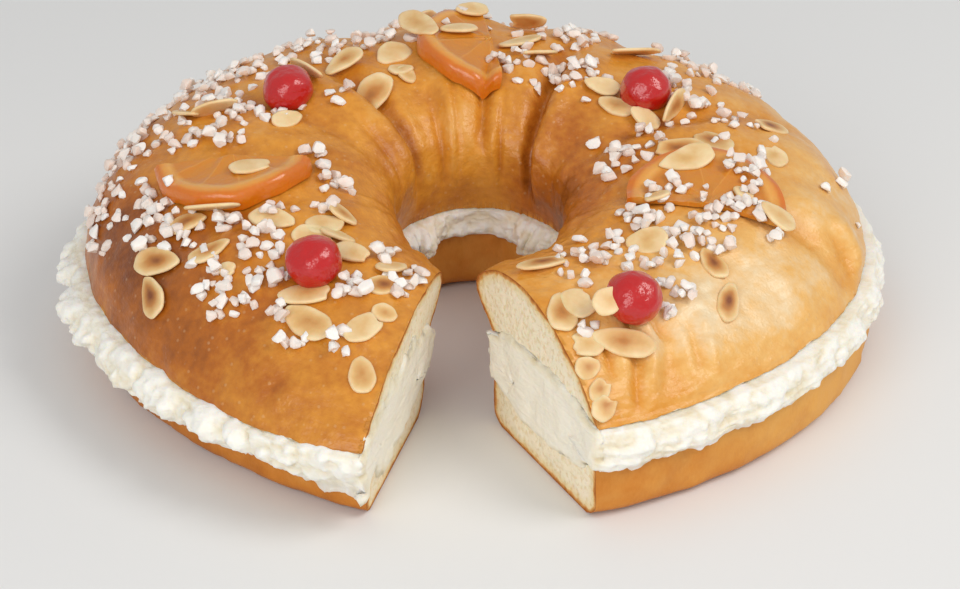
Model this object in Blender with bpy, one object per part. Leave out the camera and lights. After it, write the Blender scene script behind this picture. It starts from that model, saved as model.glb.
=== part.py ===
"""Roscon de reyes: a ring of sweet egg-washed bread, split, filled with whipped cream and cut open at the front.

The ring is drawn in polar coordinates round the middle of its hole: an angle in radians, anticlockwise
from +X, and a radius. The wedge that was cut out faces -Y. The bread's section changes round the ring,
so every size below that varies is a smooth function of the angle.
"""

import math

import bmesh
import bpy
import numpy as np
from mathutils import Matrix, Vector
from mathutils.bvhtree import BVHTree

# Driving dimensions, in metres
LOAF_RADIUS = 0.1355  # from the hole's middle to the loaf's outer side, on average round the ring
HOLE_RADIUS = 0.0425  # of the hole through the lower half, on average
CREST_HEIGHT = 0.0735  # of the dome above the table, on average
LIP_HEIGHT = 0.0350  # where the upper half's crust ends, above the cream
LOWER_HEIGHT = 0.0215  # of the lower half at its sides
FOOT_ROUNDING = 0.0045  # of the crust where it meets the baking tray
BROW_TUCK = 0.0050  # how far the crust over the hole curls back under itself
LAYER_GAP = 0.0004  # kept between one layer and the next
HOLE_MIDDLE = (0.0015, -0.0176)  # the hole's middle, seen from the middle of the whole ring's outline


# The loaf's plan and heights


def near(angle, middle, reach):
    """A smooth hump of height 1 at an angle of the ring; middle and reach are in degrees."""
    apart = (np.degrees(angle) - middle + 180) % 360 - 180
    return np.exp(-((apart / reach) ** 2))


def outer_radius(angle):
    """Of the lower half: the front, where the wedge is missing, lies closest to the hole."""
    swing = 0.0225 * np.sin(angle) + 0.0015 * np.cos(angle)
    corners = 0.0055 * np.cos(2 * angle) + 0.0035 * np.sin(3 * angle)
    return LOAF_RADIUS + swing + corners - 0.0030 * near(angle, 220, 22)


def inner_radius(angle):
    """Of the lower half: the hole is longer from front to back than from side to side."""
    return HOLE_RADIUS - 0.0045 * np.cos(2 * angle)


def lip_radius(angle):
    """Of the upper half's outer lip, which overhangs at the left and stands back elsewhere."""
    return outer_radius(angle) - 0.0028 + 0.0158 * near(angle, 240, 42) + 0.0045 * near(angle, 168, 36)


def brow_radius(angle):
    """Of the crust's innermost bulge over the hole."""
    return inner_radius(angle) - 0.0075 + 0.0015 * near(angle, 90, 40)


def seam_radius(angle):
    """Of the upper half's edge on the hole's side, tucked back under the brow."""
    return brow_radius(angle) + BROW_TUCK


def crest_height(angle):
    """Higher at the back, and pressed down by the knife beside the left cut."""
    pressed = 0.0080 * near(angle, 258, 14) + 0.0030 * near(angle, 235, 20)
    sway = 0.0110 * np.sin(angle) - 0.0032 * np.cos(angle)
    return CREST_HEIGHT + sway + 0.0030 * near(angle, 292, 22) - pressed


def lip_height(angle):
    return LIP_HEIGHT - 0.0018 * near(angle, 225, 30) + 0.0010 * near(angle, 285, 12)


# The two cuts, each a plane given by the way it faces and how far it passes from the hole's middle

RIGHT_CUT = {"facing": 28.6, "offset": -0.0173, "lean": 0.0, "turn": 0.0}
LEFT_CUT = {"facing": -15.1, "offset": -0.0091, "lean": 0.09, "turn": 2 * math.pi}


def cut_angle(radius, height, cut):
    """The angle at which a cut's plane passes through a point of that radius and height."""
    offset = cut["offset"] + cut["lean"] * height
    return cut["turn"] + math.radians(cut["facing"]) - np.arccos(np.clip(offset / radius, -1, 1))


# Unevenness: a few long waves in seeded directions, so that no stretch repeats another


def make_waves(seed, count, shortest, longest):
    draw = np.random.default_rng(seed)
    way = draw.normal(size=(count, 3))
    way /= np.linalg.norm(way, axis=1)[:, None]
    length = draw.uniform(shortest, longest, count)
    return way * (2 * np.pi / length)[:, None], draw.uniform(0, 2 * np.pi, count)


def ripple(points, waves):
    """From about -1 to 1 at each point."""
    ways, phases = waves
    return np.sin(points @ ways.T + phases).sum(axis=-1) / math.sqrt(2 * len(phases))


def to_space(radius, angle, height):
    return np.stack([radius * np.cos(angle), radius * np.sin(angle), height], axis=-1)


CRUST_WAVES = make_waves(5, 9, 0.03, 0.08)
CREAM_WAVES = make_waves(11, 9, 0.012, 0.026)

# Folds of the dough: angle, how far the angle shifts from the outer side to the hole, middle and reach
# over the dome (-1 at the outer lip, 1 at the seam), depth, half width in degrees, the side that overlaps
FOLDS = [
    (66, -6, 0.50, 0.52, 0.0070, 3.2, -1),
    (127, -6, 0.45, 0.42, 0.0060, 3.8, 1),
    (88, 3, 0.45, 0.26, 0.0032, 2.6, -1),
    (108, 2, 0.65, 0.30, 0.0022, 3.0, -1),
    (-7, 6, -0.70, 0.32, 0.0036, 3.0, 1),
    (-50, 16, -0.55, 0.32, 0.0024, 3.2, 1),
    (152, 4, 0.10, 0.35, 0.0022, 3.6, -1),
    (198, -6, -0.35, 0.40, 0.0020, 4.0, 1),
    (28, 5, -0.15, 0.50, 0.0026, 3.8, -1),
    (60, 2, -0.62, 0.36, 0.0036, 4.0, 1),
    (112, -3, -0.60, 0.36, 0.0032, 4.2, -1),
    (165, 3, -0.70, 0.30, 0.0028, 3.6, 1),
]
KNOT = {"angle": 90, "across": -0.36, "width": 4.5, "reach": 0.16, "height": 0.0040}


def fold_relief(angle, across):
    """Grooves with one swollen side, where one roll of dough laps over the next, and a knot at the back."""
    relief = np.zeros(np.broadcast(angle, across).shape)
    for middle, shift, centre, reach, depth, width, side in FOLDS:
        apart = (np.degrees(angle) - middle - shift * (across - centre) + 180) % 360 - 180
        along = np.exp(-(((across - centre) / reach) ** 4))
        groove = np.exp(-((apart / width) ** 2))
        swell = np.exp(-(((apart - side * 2.2 * width) / (2.0 * width)) ** 2))
        relief += along * depth * (0.55 * swell - groove)
    over = np.exp(-(((across - KNOT["across"]) / KNOT["reach"]) ** 2))
    relief += KNOT["height"] * over * near(angle, KNOT["angle"], KNOT["width"])
    return relief * np.clip((1 - np.abs(across)) / 0.10, 0, 1)


# Sections: each takes an array of angles with one column for each point of the section


def dome_section(angle, across):
    """The upper crust. across runs from -1 at the outer lip over the top to 1 at the seam."""
    lip, brow = lip_radius(angle), brow_radius(angle)
    turn = across * np.pi / 2
    front = 0.5 - 0.5 * np.sin(angle)
    power = np.where(across < 0, 0.78 + 0.10 * np.cos(angle) + 0.36 * front**2, 0.66)
    rise = np.abs(np.cos(turn)) ** power
    lean_in = 0.08 + 0.36 * front**2
    reach = (lip - brow) / 2 * (-np.sin(turn) - lean_in * rise)
    foot = lip_height(angle)
    climb = (crest_height(angle) - foot) * rise
    length = np.hypot(reach, climb) + 1e-9
    crust = 0.0011 * ripple(to_space(lip + 0 * turn, angle, foot + climb), CRUST_WAVES)
    relief = fold_relief(angle, across) + crust * np.minimum(1, rise * 2)
    grow = 1 + relief / length
    tuck = BROW_TUCK * np.clip((across - 0.66) / 0.34, 0, 1) ** 1.6
    return (lip + brow) / 2 + reach * grow + tuck, foot + climb * grow


def under_height(angle, across):
    """The upper half's cut underside, arched over the cream, most on the hole's side."""
    return lip_height(angle) + 0.0055 * (1 - across**2) * (1 + 0.4 * across)


def lower_height(angle, across):
    """The lower half's cut face, pressed down in the middle by the cream."""
    side = LOWER_HEIGHT + 0.0020 * np.cos(angle) ** 2 + 0.0025 * across * (np.sin(angle) + 0.4)
    pressed = 0.0015 * near(angle, 268, 40)
    return side - pressed - (0.0055 + 0.003 * near(angle, 268, 40)) * (1 - across**2)


def join_columns(*pairs):
    radii, heights = zip(*pairs)
    return np.concatenate(radii, axis=1), np.concatenate(heights, axis=1)


def between(inner, outer, across):
    """Radius at a share of the width, from -1 at the outer edge to 1 at the inner one."""
    return (outer + inner) / 2 - (outer - inner) / 2 * across


DOME_ACROSS = np.concatenate([np.linspace(-1, -0.8, 3), np.linspace(-0.8, 0.8, 11)[1:-1], np.linspace(0.8, 1, 3)])
FLAT_ACROSS = np.linspace(-1, 1, 7)
BASE_ACROSS = np.linspace(-1, 1, 3)
SIDE_SHARE = np.array([0.74, 0.40, 0.11])  # heights of the points up the lower half's sides
SIDE_SWELL = np.array([0.0007, 0.0009, -0.0008])
SQUEEZE_POINTS = 5


def top_section(angle):
    """The upper half: its dome from the outer lip to the seam, then the underside back to the lip."""
    dome_angle, under_angle = np.split(angle, [len(DOME_ACROSS)], axis=1)
    across = FLAT_ACROSS[::-1][1:-1]
    radius = between(seam_radius(under_angle), lip_radius(under_angle), across)
    return join_columns(dome_section(dome_angle, DOME_ACROSS), (radius, under_height(under_angle, across)))


def pleats(angle):
    """Shallow upright creases in the lower crust."""
    return -0.0016 * sum(near(angle, middle, 2.8) for middle in (-53, -12, 40, 79, 97, 141, 205, 233))


def bottom_section(angle):
    """The lower half: its cut face from the hole outwards, the outer side, the base and the inner side."""
    counts = np.cumsum([len(FLAT_ACROSS), len(SIDE_SHARE), len(BASE_ACROSS)])
    face_angle, out_angle, base_angle, in_angle = np.split(angle, counts, axis=1)
    across = FLAT_ACROSS[::-1]
    face = between(inner_radius(face_angle), outer_radius(face_angle), across), lower_height(face_angle, across)
    outside = (
        outer_radius(out_angle) + SIDE_SWELL + pleats(out_angle) * SIDE_SHARE,
        lower_height(out_angle, -1) * SIDE_SHARE,
    )
    inner, outer = inner_radius(base_angle) + FOOT_ROUNDING, outer_radius(base_angle) - FOOT_ROUNDING
    base = between(inner, outer, BASE_ACROSS), 0 * base_angle
    inside = (
        inner_radius(in_angle) - SIDE_SWELL[::-1] - pleats(in_angle) * SIDE_SHARE[::-1],
        lower_height(in_angle, 1) * SIDE_SHARE[::-1],
    )
    return join_columns(face, outside, base, inside)


# The cream is squeezed out past both crusts. Outside it swells most at the left; in the hole two piped
# ends show, with a thin line of cream between them.


def outer_squeeze(angle):
    return 0.0032 + 0.0085 * near(angle, 200, 52) + 0.0020 * near(angle, -25, 40)


def outer_hang(angle):
    """How far the cream hangs down over the lower crust."""
    return 0.0012 + 0.0070 * near(angle, 222, 40) + 0.0035 * near(angle, 252, 12)


def hole_squeeze(angle):
    return 0.0008 + 0.0090 * near(angle, 60, 13) + 0.0080 * near(angle, 124, 15) + 0.0015 * near(angle, 270, 60)


def hole_hang(angle):
    return 0.0006 + 0.0070 * near(angle, 60, 12) + 0.0055 * near(angle, 126, 14)


def lumps(angle, count):
    """The run of swells that a star nozzle leaves, from 0 to 1."""
    return np.abs(np.sin(angle * count / 2 + 0.9 * np.sin(angle * 5)))


def swell_section(angle, low_corner, high_corner, squeeze, hang, lump, side):
    """The cream's edge from below the lower crust's corner up to the upper crust; side is 1 outside."""
    (low_radius, low), (high_radius, high) = low_corner, high_corner
    share = np.linspace(0, 1, angle.shape[1])
    bulge = np.sin(np.pi * (0.12 + 0.80 * share)) ** 0.8
    rough = ripple(to_space(low_radius, angle, low + 0.012 * share), CREAM_WAVES)
    straight = low_radius + (high_radius - low_radius) * share
    clear_of_crust = side * np.maximum(side * straight, side * low_radius + 0.0016 * (share < 0.5))
    out = 0.0006 + (squeeze * (0.72 + 0.28 * lump) + 0.0008 * rough) * bulge
    bottom = low - hang * (0.6 + 0.4 * lump)
    top = high - 2 * LAYER_GAP
    return clear_of_crust + side * out, bottom + (top - bottom) * share


def cream_section(angle):
    """The filling: its underside from the hole outwards, the outer swell, its upper side, the inner swell."""
    counts = np.cumsum([len(FLAT_ACROSS), SQUEEZE_POINTS, len(FLAT_ACROSS)])
    low_angle, out_angle, high_angle, in_angle = np.split(angle, counts, axis=1)
    across = FLAT_ACROSS[::-1]
    low = (
        between(inner_radius(low_angle), outer_radius(low_angle), across),
        lower_height(low_angle, across) + LAYER_GAP,
    )
    high = (
        between(seam_radius(high_angle), lip_radius(high_angle), FLAT_ACROSS),
        under_height(high_angle, FLAT_ACROSS) - LAYER_GAP,
    )
    outside = swell_section(
        out_angle,
        (outer_radius(out_angle), lower_height(out_angle, -1)),
        (lip_radius(out_angle), lip_height(out_angle)),
        outer_squeeze(out_angle),
        outer_hang(out_angle),
        lumps(out_angle, 26),
        1,
    )
    in_angle = in_angle[:, ::-1]
    inside = swell_section(
        in_angle,
        (inner_radius(in_angle), lower_height(in_angle, 1)),
        (seam_radius(in_angle), lip_height(in_angle)),
        hole_squeeze(in_angle),
        hole_hang(in_angle),
        lumps(in_angle, 20),
        -1,
    )
    return join_columns(low, outside, high, (inside[0][:, ::-1], inside[1][:, ::-1]))


# Building in Blender


def make_material(name, color, roughness):
    material = bpy.data.materials.new(name)
    material.use_nodes = True
    shader = material.node_tree.nodes["Principled BSDF"]
    shader.inputs["Base Color"].default_value = (*color, 1.0)
    shader.inputs["Roughness"].default_value = roughness
    shader.inputs["Metallic"].default_value = 0.0
    return material


def add_object(name, mesh, material, parent):
    piece = bpy.data.objects.new(name, mesh)
    bpy.context.scene.collection.objects.link(piece)
    mesh.materials.clear()
    mesh.materials.append(material)
    mesh.shade_smooth()
    mesh.set_sharp_from_angle(angle=math.radians(40))
    piece.parent = parent
    return piece


def mesh_from(name, points, faces):
    mesh = bpy.data.meshes.new(name)
    mesh.from_pydata([tuple(point) for point in points], [], faces)
    work = bmesh.new()
    work.from_mesh(mesh)
    bmesh.ops.recalc_face_normals(work, faces=work.faces)
    work.to_mesh(mesh)
    work.free()
    return mesh


def ring_mesh(name, section, count, steps):
    """A band of quads swept from the right cut round to the left one, with its two ends flat in the cuts."""
    first, last = np.full((1, count), math.radians(-70)), np.full((1, count), math.radians(248))
    for _ in range(12):
        first = cut_angle(*section(first), RIGHT_CUT)
        last = cut_angle(*section(last), LEFT_CUT)
    angle = first + (last - first) * np.linspace(0, 1, steps + 1)[:, None]
    radius, height = section(angle)
    points = to_space(radius, angle, height).reshape(-1, 3)
    faces = []
    for row in range(steps):
        for column in range(count):
            beside = (column + 1) % count
            here, ahead = row * count, (row + 1) * count
            faces.append((here + column, here + beside, ahead + beside, ahead + column))
    faces.append(tuple(range(count)))
    faces.append(tuple(steps * count + column for column in range(count)))
    return mesh_from(name, points, faces)


def surface_tree(mesh):
    return BVHTree.FromPolygons([vertex.co for vertex in mesh.vertices], [face.vertices for face in mesh.polygons])


def spot_on(tree, degrees, across):
    """A point of the crust and a frame there: X along the ring, Y towards the hole, Z out of the crust."""
    angle = np.array([math.radians(degrees)])
    step = 0.02
    points = []
    for turn, side in ((0, 0), (step, 0), (-step, 0), (0, 3 * step), (0, -3 * step)):
        radius, height = dome_section(angle + turn, np.array([across + side]))
        points.append(Vector(to_space(radius, angle + turn, height)[0]))
    along = (points[1] - points[2]).normalized()
    inward = (points[3] - points[4]).normalized()
    out = along.cross(inward).normalized()
    if out.z < 0:
        out = -out
    inward = out.cross(along)
    hit = tree.ray_cast(points[0] + out * 0.02, -out)[0] or points[0]
    frame = Matrix((along, inward, out)).transposed().to_4x4()
    frame.translation = hit
    return frame


def drop_onto(tree, frame, x, y, margin=0.002):
    """Height along a frame's Z at which something comes to rest on the surface round a spot."""
    back = frame.inverted()
    heights = []
    for side_x, side_y in ((0, 0), (margin, 0), (-margin, 0), (0, margin), (0, -margin)):
        start = frame @ Vector((x + side_x, y + side_y, 0.03))
        hit = tree.ray_cast(start, -frame.col[2].to_3d())[0]
        if hit:
            heights.append((back @ hit).z)
    return max(heights, default=0.0)


# Candied fruit. Each piece rests in the crust, so its underside follows the bread.

CHERRY_WIDTH = 0.0192
FRUIT_GAP = 0.0005
# A cherry is (angle, across, how deep it sits in the crust)
CHERRIES = [(147, 0.04, 0.0062), (40, 0.08, 0.0045), (224, -0.17, 0.0045), (-54, -0.37, 0.0030)]

# Two slices stand proud of the crust and the third has sunk into it
ORANGE_SLICES = [
    {"spot": (177, -0.10), "radius": 0.0280, "cut": -0.0045, "turn": -104, "thickness": 0.0064},
    {"spot": (88, 0.07), "radius": 0.0270, "cut": 0.001, "turn": -80, "thickness": 0.0060},
    {"spot": (-8, -0.10), "radius": 0.0285, "cut": 0.004, "turn": -71, "thickness": 0.0030},
]


def cherry_mesh(name, tree, frame, sink, seed):
    """A shrivelled ball, flattened where it rests."""
    waves = make_waves(seed, 6, 0.007, 0.014)
    ball = bmesh.new()
    bmesh.ops.create_uvsphere(ball, u_segments=13, v_segments=8, radius=CHERRY_WIDTH / 2)
    for vertex in ball.verts:
        swell = 1 + 0.045 * float(ripple(np.array(vertex.co), waves))
        spot = Vector((vertex.co.x * swell, vertex.co.y * swell, vertex.co.z * swell * 0.9))
        spot.z += CHERRY_WIDTH / 2 - sink
        spot.z = max(spot.z, drop_onto(tree, frame, spot.x, spot.y) + FRUIT_GAP)
        vertex.co = spot
    mesh = bpy.data.meshes.new(name)
    ball.to_mesh(mesh)
    ball.free()
    return mesh


def orange_mesh(name, tree, frame, radius, cut, thickness):
    """About half a round slice, its straight side at y = -cut, bent over the crust under it."""
    turns = 15
    rings = 4
    opening = math.asin(cut / radius)
    rim = np.linspace(-opening, math.pi + opening, turns)
    outline = [(radius * math.cos(turn), radius * math.sin(turn)) for turn in rim]
    hub = (0.0, -cut)
    flat = [hub]
    for ring in range(1, rings + 1):
        share = ring / rings
        flat += [(hub[0] + (x - hub[0]) * share, hub[1] + (y - hub[1]) * share) for x, y in outline]
    under = [Vector((x, y, drop_onto(tree, frame, x, y) + FRUIT_GAP)) for x, y in flat]
    over = [spot + Vector((0, 0, thickness)) for spot in under]
    faces = []
    shift = len(flat)
    for column in range(turns - 1):
        faces.append((0, 1 + column, 2 + column))
        faces.append((shift, shift + 2 + column, shift + 1 + column))
        for ring in range(rings - 1):
            low = 1 + ring * turns + column
            quad = (low, low + turns, low + turns + 1, low + 1)
            faces.append(quad)
            faces.append(tuple(shift + corner for corner in reversed(quad)))
    last_ring = 1 + (rings - 1) * turns
    edge = [0] + [1 + ring * turns for ring in range(rings)]
    edge += list(range(last_ring + 1, last_ring + turns))
    edge += [turns + ring * turns for ring in range(rings - 2, -1, -1)]
    for here, ahead in zip(edge, edge[1:] + edge[:1]):
        faces.append((here, ahead, shift + ahead, shift + here))
    return mesh_from(name, under + over, faces)


# Toppings: flakes of almond and nibs of sugar, sunk a little way into what they lie on.
# A flake is (angle, across, turn from the ring's direction); all angles in degrees.

FLAKE_LENGTH = 0.0200
FLAKE_THICKNESS = 0.0016
FLAKES = [
    (126, 0.04, 10), (127, 0.30, 28), (104, -0.02, 110), (113, 0.06, 30), (114, 0.22, 80), (159, -0.20, 110),
    (160, -0.34, 55), (194, -0.29, 60), (204, -0.12, 35), (195, -0.42, 70), (211, 0.06, 75), (208, 0.20, 25),
    (198, -0.62, 30), (203, -0.75, 160), (205, -0.43, 70), (226, 0.04, 15), (241, -0.04, 50), (230, -0.30, 40),
    (234, -0.42, 175), (244, -0.30, 70), (248, -0.54, 110), (92, -0.18, 25), (80, -0.04, 35), (74, 0.11, 40),
    (56, -0.16, 50), (52, 0.20, 25), (44, 0.24, 20), (33, 0.18, 15), (16, -0.06, 45), (14, 0.10, 85),
    (23, -0.36, 105), (11, -0.34, 35), (-31, -0.04, 145), (-28, -0.34, 75), (-34, -0.54, 40), (-9, -0.42, 85),
    (-65, 0.12, 5), (-70, -0.30, 75), (-64, -0.26, 5), (-60, -0.54, 155), (-68, -0.50, 120), (-66, -0.78, 60),
]

# A drift of sugar is (angle, across, reach in degrees, reach across, nibs)
NIB_SIZE = 0.0050
DRIFTS = [
    (136, -0.36, 6, 0.20, 7), (162, -0.50, 7, 0.16, 6), (155, -0.22, 5, 0.09, 4), (158, -0.07, 4, 0.06, 2),
    (168, -0.18, 3, 0.08, 2), (187, -0.50, 5, 0.08, 5), (178, -0.72, 6, 0.10, 3), (203, -0.24, 6, 0.07, 3),
    (186, 0.30, 8, 0.05, 3), (212, -0.26, 4, 0.07, 3), (212, -0.50, 4, 0.07, 3), (218, -0.42, 4, 0.07, 3),
    (236, -0.16, 3, 0.06, 3), (239, 0.12, 5, 0.10, 4), (121, -0.08, 4, 0.08, 4), (80, 0.20, 5, 0.08, 3),
    (60, 0.12, 7, 0.08, 5), (70, -0.20, 4, 0.12, 3), (50, -0.40, 4, 0.12, 3), (40, -0.30, 5, 0.14, 3),
    (32, -0.10, 6, 0.08, 2), (23, -0.20, 5, 0.08, 3), (21, 0.20, 5, 0.10, 3), (-13, -0.22, 5, 0.09, 6),
    (-24, -0.16, 4, 0.07, 5), (-18, 0.13, 4, 0.06, 3), (-48, 0.02, 10, 0.14, 7), (-37, -0.16, 5, 0.08, 3),
    (-41, -0.34, 3, 0.06, 2),
]
ORANGE_FLAKES = [[(183, -0.04, 85)], [], [(6, 0.04, 120)]]
ORANGE_DRIFTS = [[], [(96, 0.10, 3, 0.06, 3)], [(2, -0.16, 6, 0.12, 6)]]


def flake_points():
    """A teardrop outline with thin edges, long in X."""
    turns = np.linspace(0, 2 * np.pi, 9)[:-1]
    half_length, half_width = FLAKE_LENGTH / 2, FLAKE_LENGTH * 0.29
    x = half_length * np.cos(turns)
    y = half_width * np.sin(turns) * (1 - 0.28 * np.cos(turns))
    rim = [(a, b, -FLAKE_THICKNESS) for a, b in zip(x, y)]
    top = [(a * 0.9, b * 0.88, FLAKE_THICKNESS * 0.55) for a, b in zip(x, y)]
    return rim + top


def nib_points(draw, size):
    """A rough lump of sugar: the corners of a box, knocked about, and one more on a side and on top."""
    corners = [(x, y, z) for x in (-1, 1) for y in (-1, 1) for z in (-1, 1)]
    knocked = []
    for corner in corners + [(1.35, 0, 0), (0, 0, 1.35)]:
        knocked.append(tuple(size * 0.36 * (value + 0.55 * draw.uniform(-1, 1)) for value in corner))
    return knocked


def hull_piece(name, points, frame, collection):
    """A small convex solid at a frame, added to the collection that is fused later."""
    shape = bmesh.new()
    for point in points:
        shape.verts.new(frame @ Vector(point))
    hull = bmesh.ops.convex_hull(shape, input=shape.verts)
    inside = {item for item in hull["geom_interior"] if isinstance(item, bmesh.types.BMVert)}
    bmesh.ops.delete(shape, geom=list(inside), context="VERTS")
    bmesh.ops.recalc_face_normals(shape, faces=shape.faces)
    mesh = bpy.data.meshes.new(name)
    shape.to_mesh(mesh)
    shape.free()
    piece = bpy.data.objects.new(name, mesh)
    piece.parent = ring
    collection.objects.link(piece)
    return piece


def is_clear(piece, others, distance):
    """Whether a topping keeps its distance from every other node."""
    shape = surface_tree(piece.data)
    if any(shape.overlap(tree) for tree in others):
        return False
    for vertex in piece.data.vertices:
        for tree in others:
            spot, facing, _, apart = tree.find_nearest(vertex.co)
            if apart < distance or (apart < CHERRY_WIDTH / 2 and (vertex.co - spot).dot(facing) < 0):
                return False
    return True


def scatter(tree, others, flakes, drifts, seed):
    """A collection of the flakes and nibs that lie on one node and keep clear of the others."""
    draw = np.random.default_rng(seed)
    toppings = bpy.data.collections.new("toppings")
    bpy.context.scene.collection.children.link(toppings)
    taken = []
    for number, (degrees, across, turn) in enumerate(flakes):
        frame = spot_on(tree, degrees, across)
        scale = draw.uniform(0.85, 1.08)
        turned = frame @ Matrix.Rotation(math.radians(turn), 4, "Z") @ Matrix.Scale(scale, 4)
        piece = hull_piece(f"flake_{number}", flake_points(), turned, toppings)
        keep_or_drop(piece, is_clear(piece, others, 0.0006), frame.translation, taken, 0.008)
    for degrees, across, spread, reach, count in drifts:
        for number in range(count):
            offset = draw.normal(size=2) * 0.6
            frame = spot_on(tree, degrees + spread * offset[0], across + reach * offset[1])
            points = nib_points(draw, NIB_SIZE * draw.uniform(0.8, 1.15))
            apart = min(((frame.translation - spot).length - room for spot, room in taken), default=1)
            frame = frame @ Matrix.Rotation(draw.uniform(0, 6.28), 4, "Z") @ Matrix.Translation((0, 0, 0.0006))
            piece = hull_piece(f"nib_{number}", points, frame, toppings)
            fits = apart > 0.003 and is_clear(piece, others, 0.0006)
            keep_or_drop(piece, fits, frame.translation, taken, 0.0025)
    return toppings


def keep_or_drop(piece, fits, spot, taken, room):
    if fits:
        taken.append((spot.copy(), room))
    else:
        bpy.data.objects.remove(piece)


def fuse(target, toppings):
    """One Boolean union of the collection into the target, applied; only its largest shell is kept."""
    union = target.modifiers.new("toppings", "BOOLEAN")
    union.operation = "UNION"
    union.operand_type = "COLLECTION"
    union.collection = toppings
    union.solver = "MANIFOLD"
    fused = bpy.data.meshes.new_from_object(target.evaluated_get(bpy.context.evaluated_depsgraph_get()))
    target.modifiers.remove(union)
    for piece in list(toppings.objects):
        bpy.data.objects.remove(piece)
    bpy.data.collections.remove(toppings)
    keep_largest_shell(fused)
    target.data = fused


def keep_largest_shell(mesh):
    work = bmesh.new()
    work.from_mesh(mesh)
    unseen = set(work.verts)
    shells = []
    while unseen:
        front = [unseen.pop()]
        shell = set(front)
        while front:
            for edge in front.pop().link_edges:
                for vertex in edge.verts:
                    if vertex in unseen:
                        unseen.remove(vertex)
                        shell.add(vertex)
                        front.append(vertex)
        shells.append(shell)
    shells.sort(key=len)
    for shell in shells[:-1]:
        bmesh.ops.delete(work, geom=list(shell), context="VERTS")
    work.to_mesh(mesh)
    work.free()


# The whole ring

for thing in list(bpy.data.objects):
    bpy.data.objects.remove(thing)

ring = bpy.data.objects.new("ring_middle", None)
ring.location = (*HOLE_MIDDLE, 0.0)
bpy.context.scene.collection.objects.link(ring)

crust = make_material("egg_washed_crust", (0.62, 0.27, 0.06), 0.38)
lower_crust = make_material("baked_crust", (0.50, 0.21, 0.06), 0.50)
whipped_cream = make_material("whipped_cream", (0.88, 0.84, 0.74), 0.60)
candied_cherry = make_material("candied_cherry", (0.55, 0.01, 0.015), 0.12)
candied_orange = make_material("candied_orange", (0.75, 0.30, 0.03), 0.20)

bottom_points = len(FLAT_ACROSS) + 2 * len(SIDE_SHARE) + len(BASE_ACROSS)
cream_points = 2 * len(FLAT_ACROSS) + 2 * SQUEEZE_POINTS
top_points = len(DOME_ACROSS) + len(FLAT_ACROSS) - 2
bottom_mesh = ring_mesh("bread_bottom", bottom_section, bottom_points, 54)
cream_mesh = ring_mesh("cream_filling", cream_section, cream_points, 70)
top_mesh = ring_mesh("bread_top", top_section, top_points, 68)
add_object("bread_bottom", bottom_mesh, lower_crust, ring)
add_object("cream_filling", cream_mesh, whipped_cream, ring)
bread_top = add_object("bread_top", top_mesh, crust, ring)
bread_tree = surface_tree(top_mesh)

fruit = []
fruit_trees = []
for number, (degrees, across, sink) in enumerate(CHERRIES):
    frame = spot_on(bread_tree, degrees, across)
    mesh = cherry_mesh(f"cherry_{number + 1}", bread_tree, frame, sink, 21 + number)
    cherry = add_object(mesh.name, mesh, candied_cherry, ring)
    cherry.matrix_basis = frame
    fruit.append((cherry, frame))
slices = []
for number, plan in enumerate(ORANGE_SLICES):
    frame = spot_on(bread_tree, *plan["spot"]) @ Matrix.Rotation(math.radians(plan["turn"]), 4, "Z")
    name = f"orange_slice_{number + 1}"
    mesh = orange_mesh(name, bread_tree, frame, plan["radius"], plan["cut"], plan["thickness"])
    piece = add_object(mesh.name, mesh, candied_orange, ring)
    mesh.transform(frame)
    slices.append(piece)
    fruit_trees.append(surface_tree(mesh))
for cherry, frame in fruit:
    placed = cherry.data.copy()
    placed.transform(frame)
    fruit_trees.append(surface_tree(placed))
    bpy.data.meshes.remove(placed)

fuse(bread_top, scatter(bread_tree, fruit_trees, FLAKES, DRIFTS, 3))
for number, piece in enumerate(slices):
    others = [bread_tree] + [tree for index, tree in enumerate(fruit_trees) if index != number]
    toppings = scatter(fruit_trees[number], others, ORANGE_FLAKES[number], ORANGE_DRIFTS[number], 31 + number)
    if toppings.objects:
        fuse(piece, toppings)
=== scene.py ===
"""A roscon de reyes filled with whipped cream and cut open at the front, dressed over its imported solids.

Everything is in metres. Like the solids, the ring is drawn in polar coordinates round the middle of its
hole: an angle, anticlockwise from +X, a radius and a height above the table. Angles are worked with in
radians, and the lists of places hold them in degrees. The wedge that was cut out faces -Y.
"""

import math

import bmesh
import bpy
import numpy as np
from mathutils import Matrix, Vector, noise
from mathutils.bvhtree import BVHTree


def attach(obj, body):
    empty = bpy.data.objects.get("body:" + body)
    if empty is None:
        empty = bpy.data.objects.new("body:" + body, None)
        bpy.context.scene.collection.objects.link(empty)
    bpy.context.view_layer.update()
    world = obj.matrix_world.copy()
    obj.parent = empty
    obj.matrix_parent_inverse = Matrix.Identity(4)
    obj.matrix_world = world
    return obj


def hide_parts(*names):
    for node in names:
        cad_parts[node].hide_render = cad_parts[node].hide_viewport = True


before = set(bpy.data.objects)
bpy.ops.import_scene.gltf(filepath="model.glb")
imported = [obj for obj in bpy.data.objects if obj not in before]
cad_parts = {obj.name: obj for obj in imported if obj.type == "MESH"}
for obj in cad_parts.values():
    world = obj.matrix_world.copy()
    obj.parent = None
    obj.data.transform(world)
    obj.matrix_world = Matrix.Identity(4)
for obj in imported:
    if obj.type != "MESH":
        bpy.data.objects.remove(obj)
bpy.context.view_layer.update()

# The camera stands where the photographer stood: square on to the missing slice and thirty degrees
# above the table, with a long lens a little under a metre away.

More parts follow.
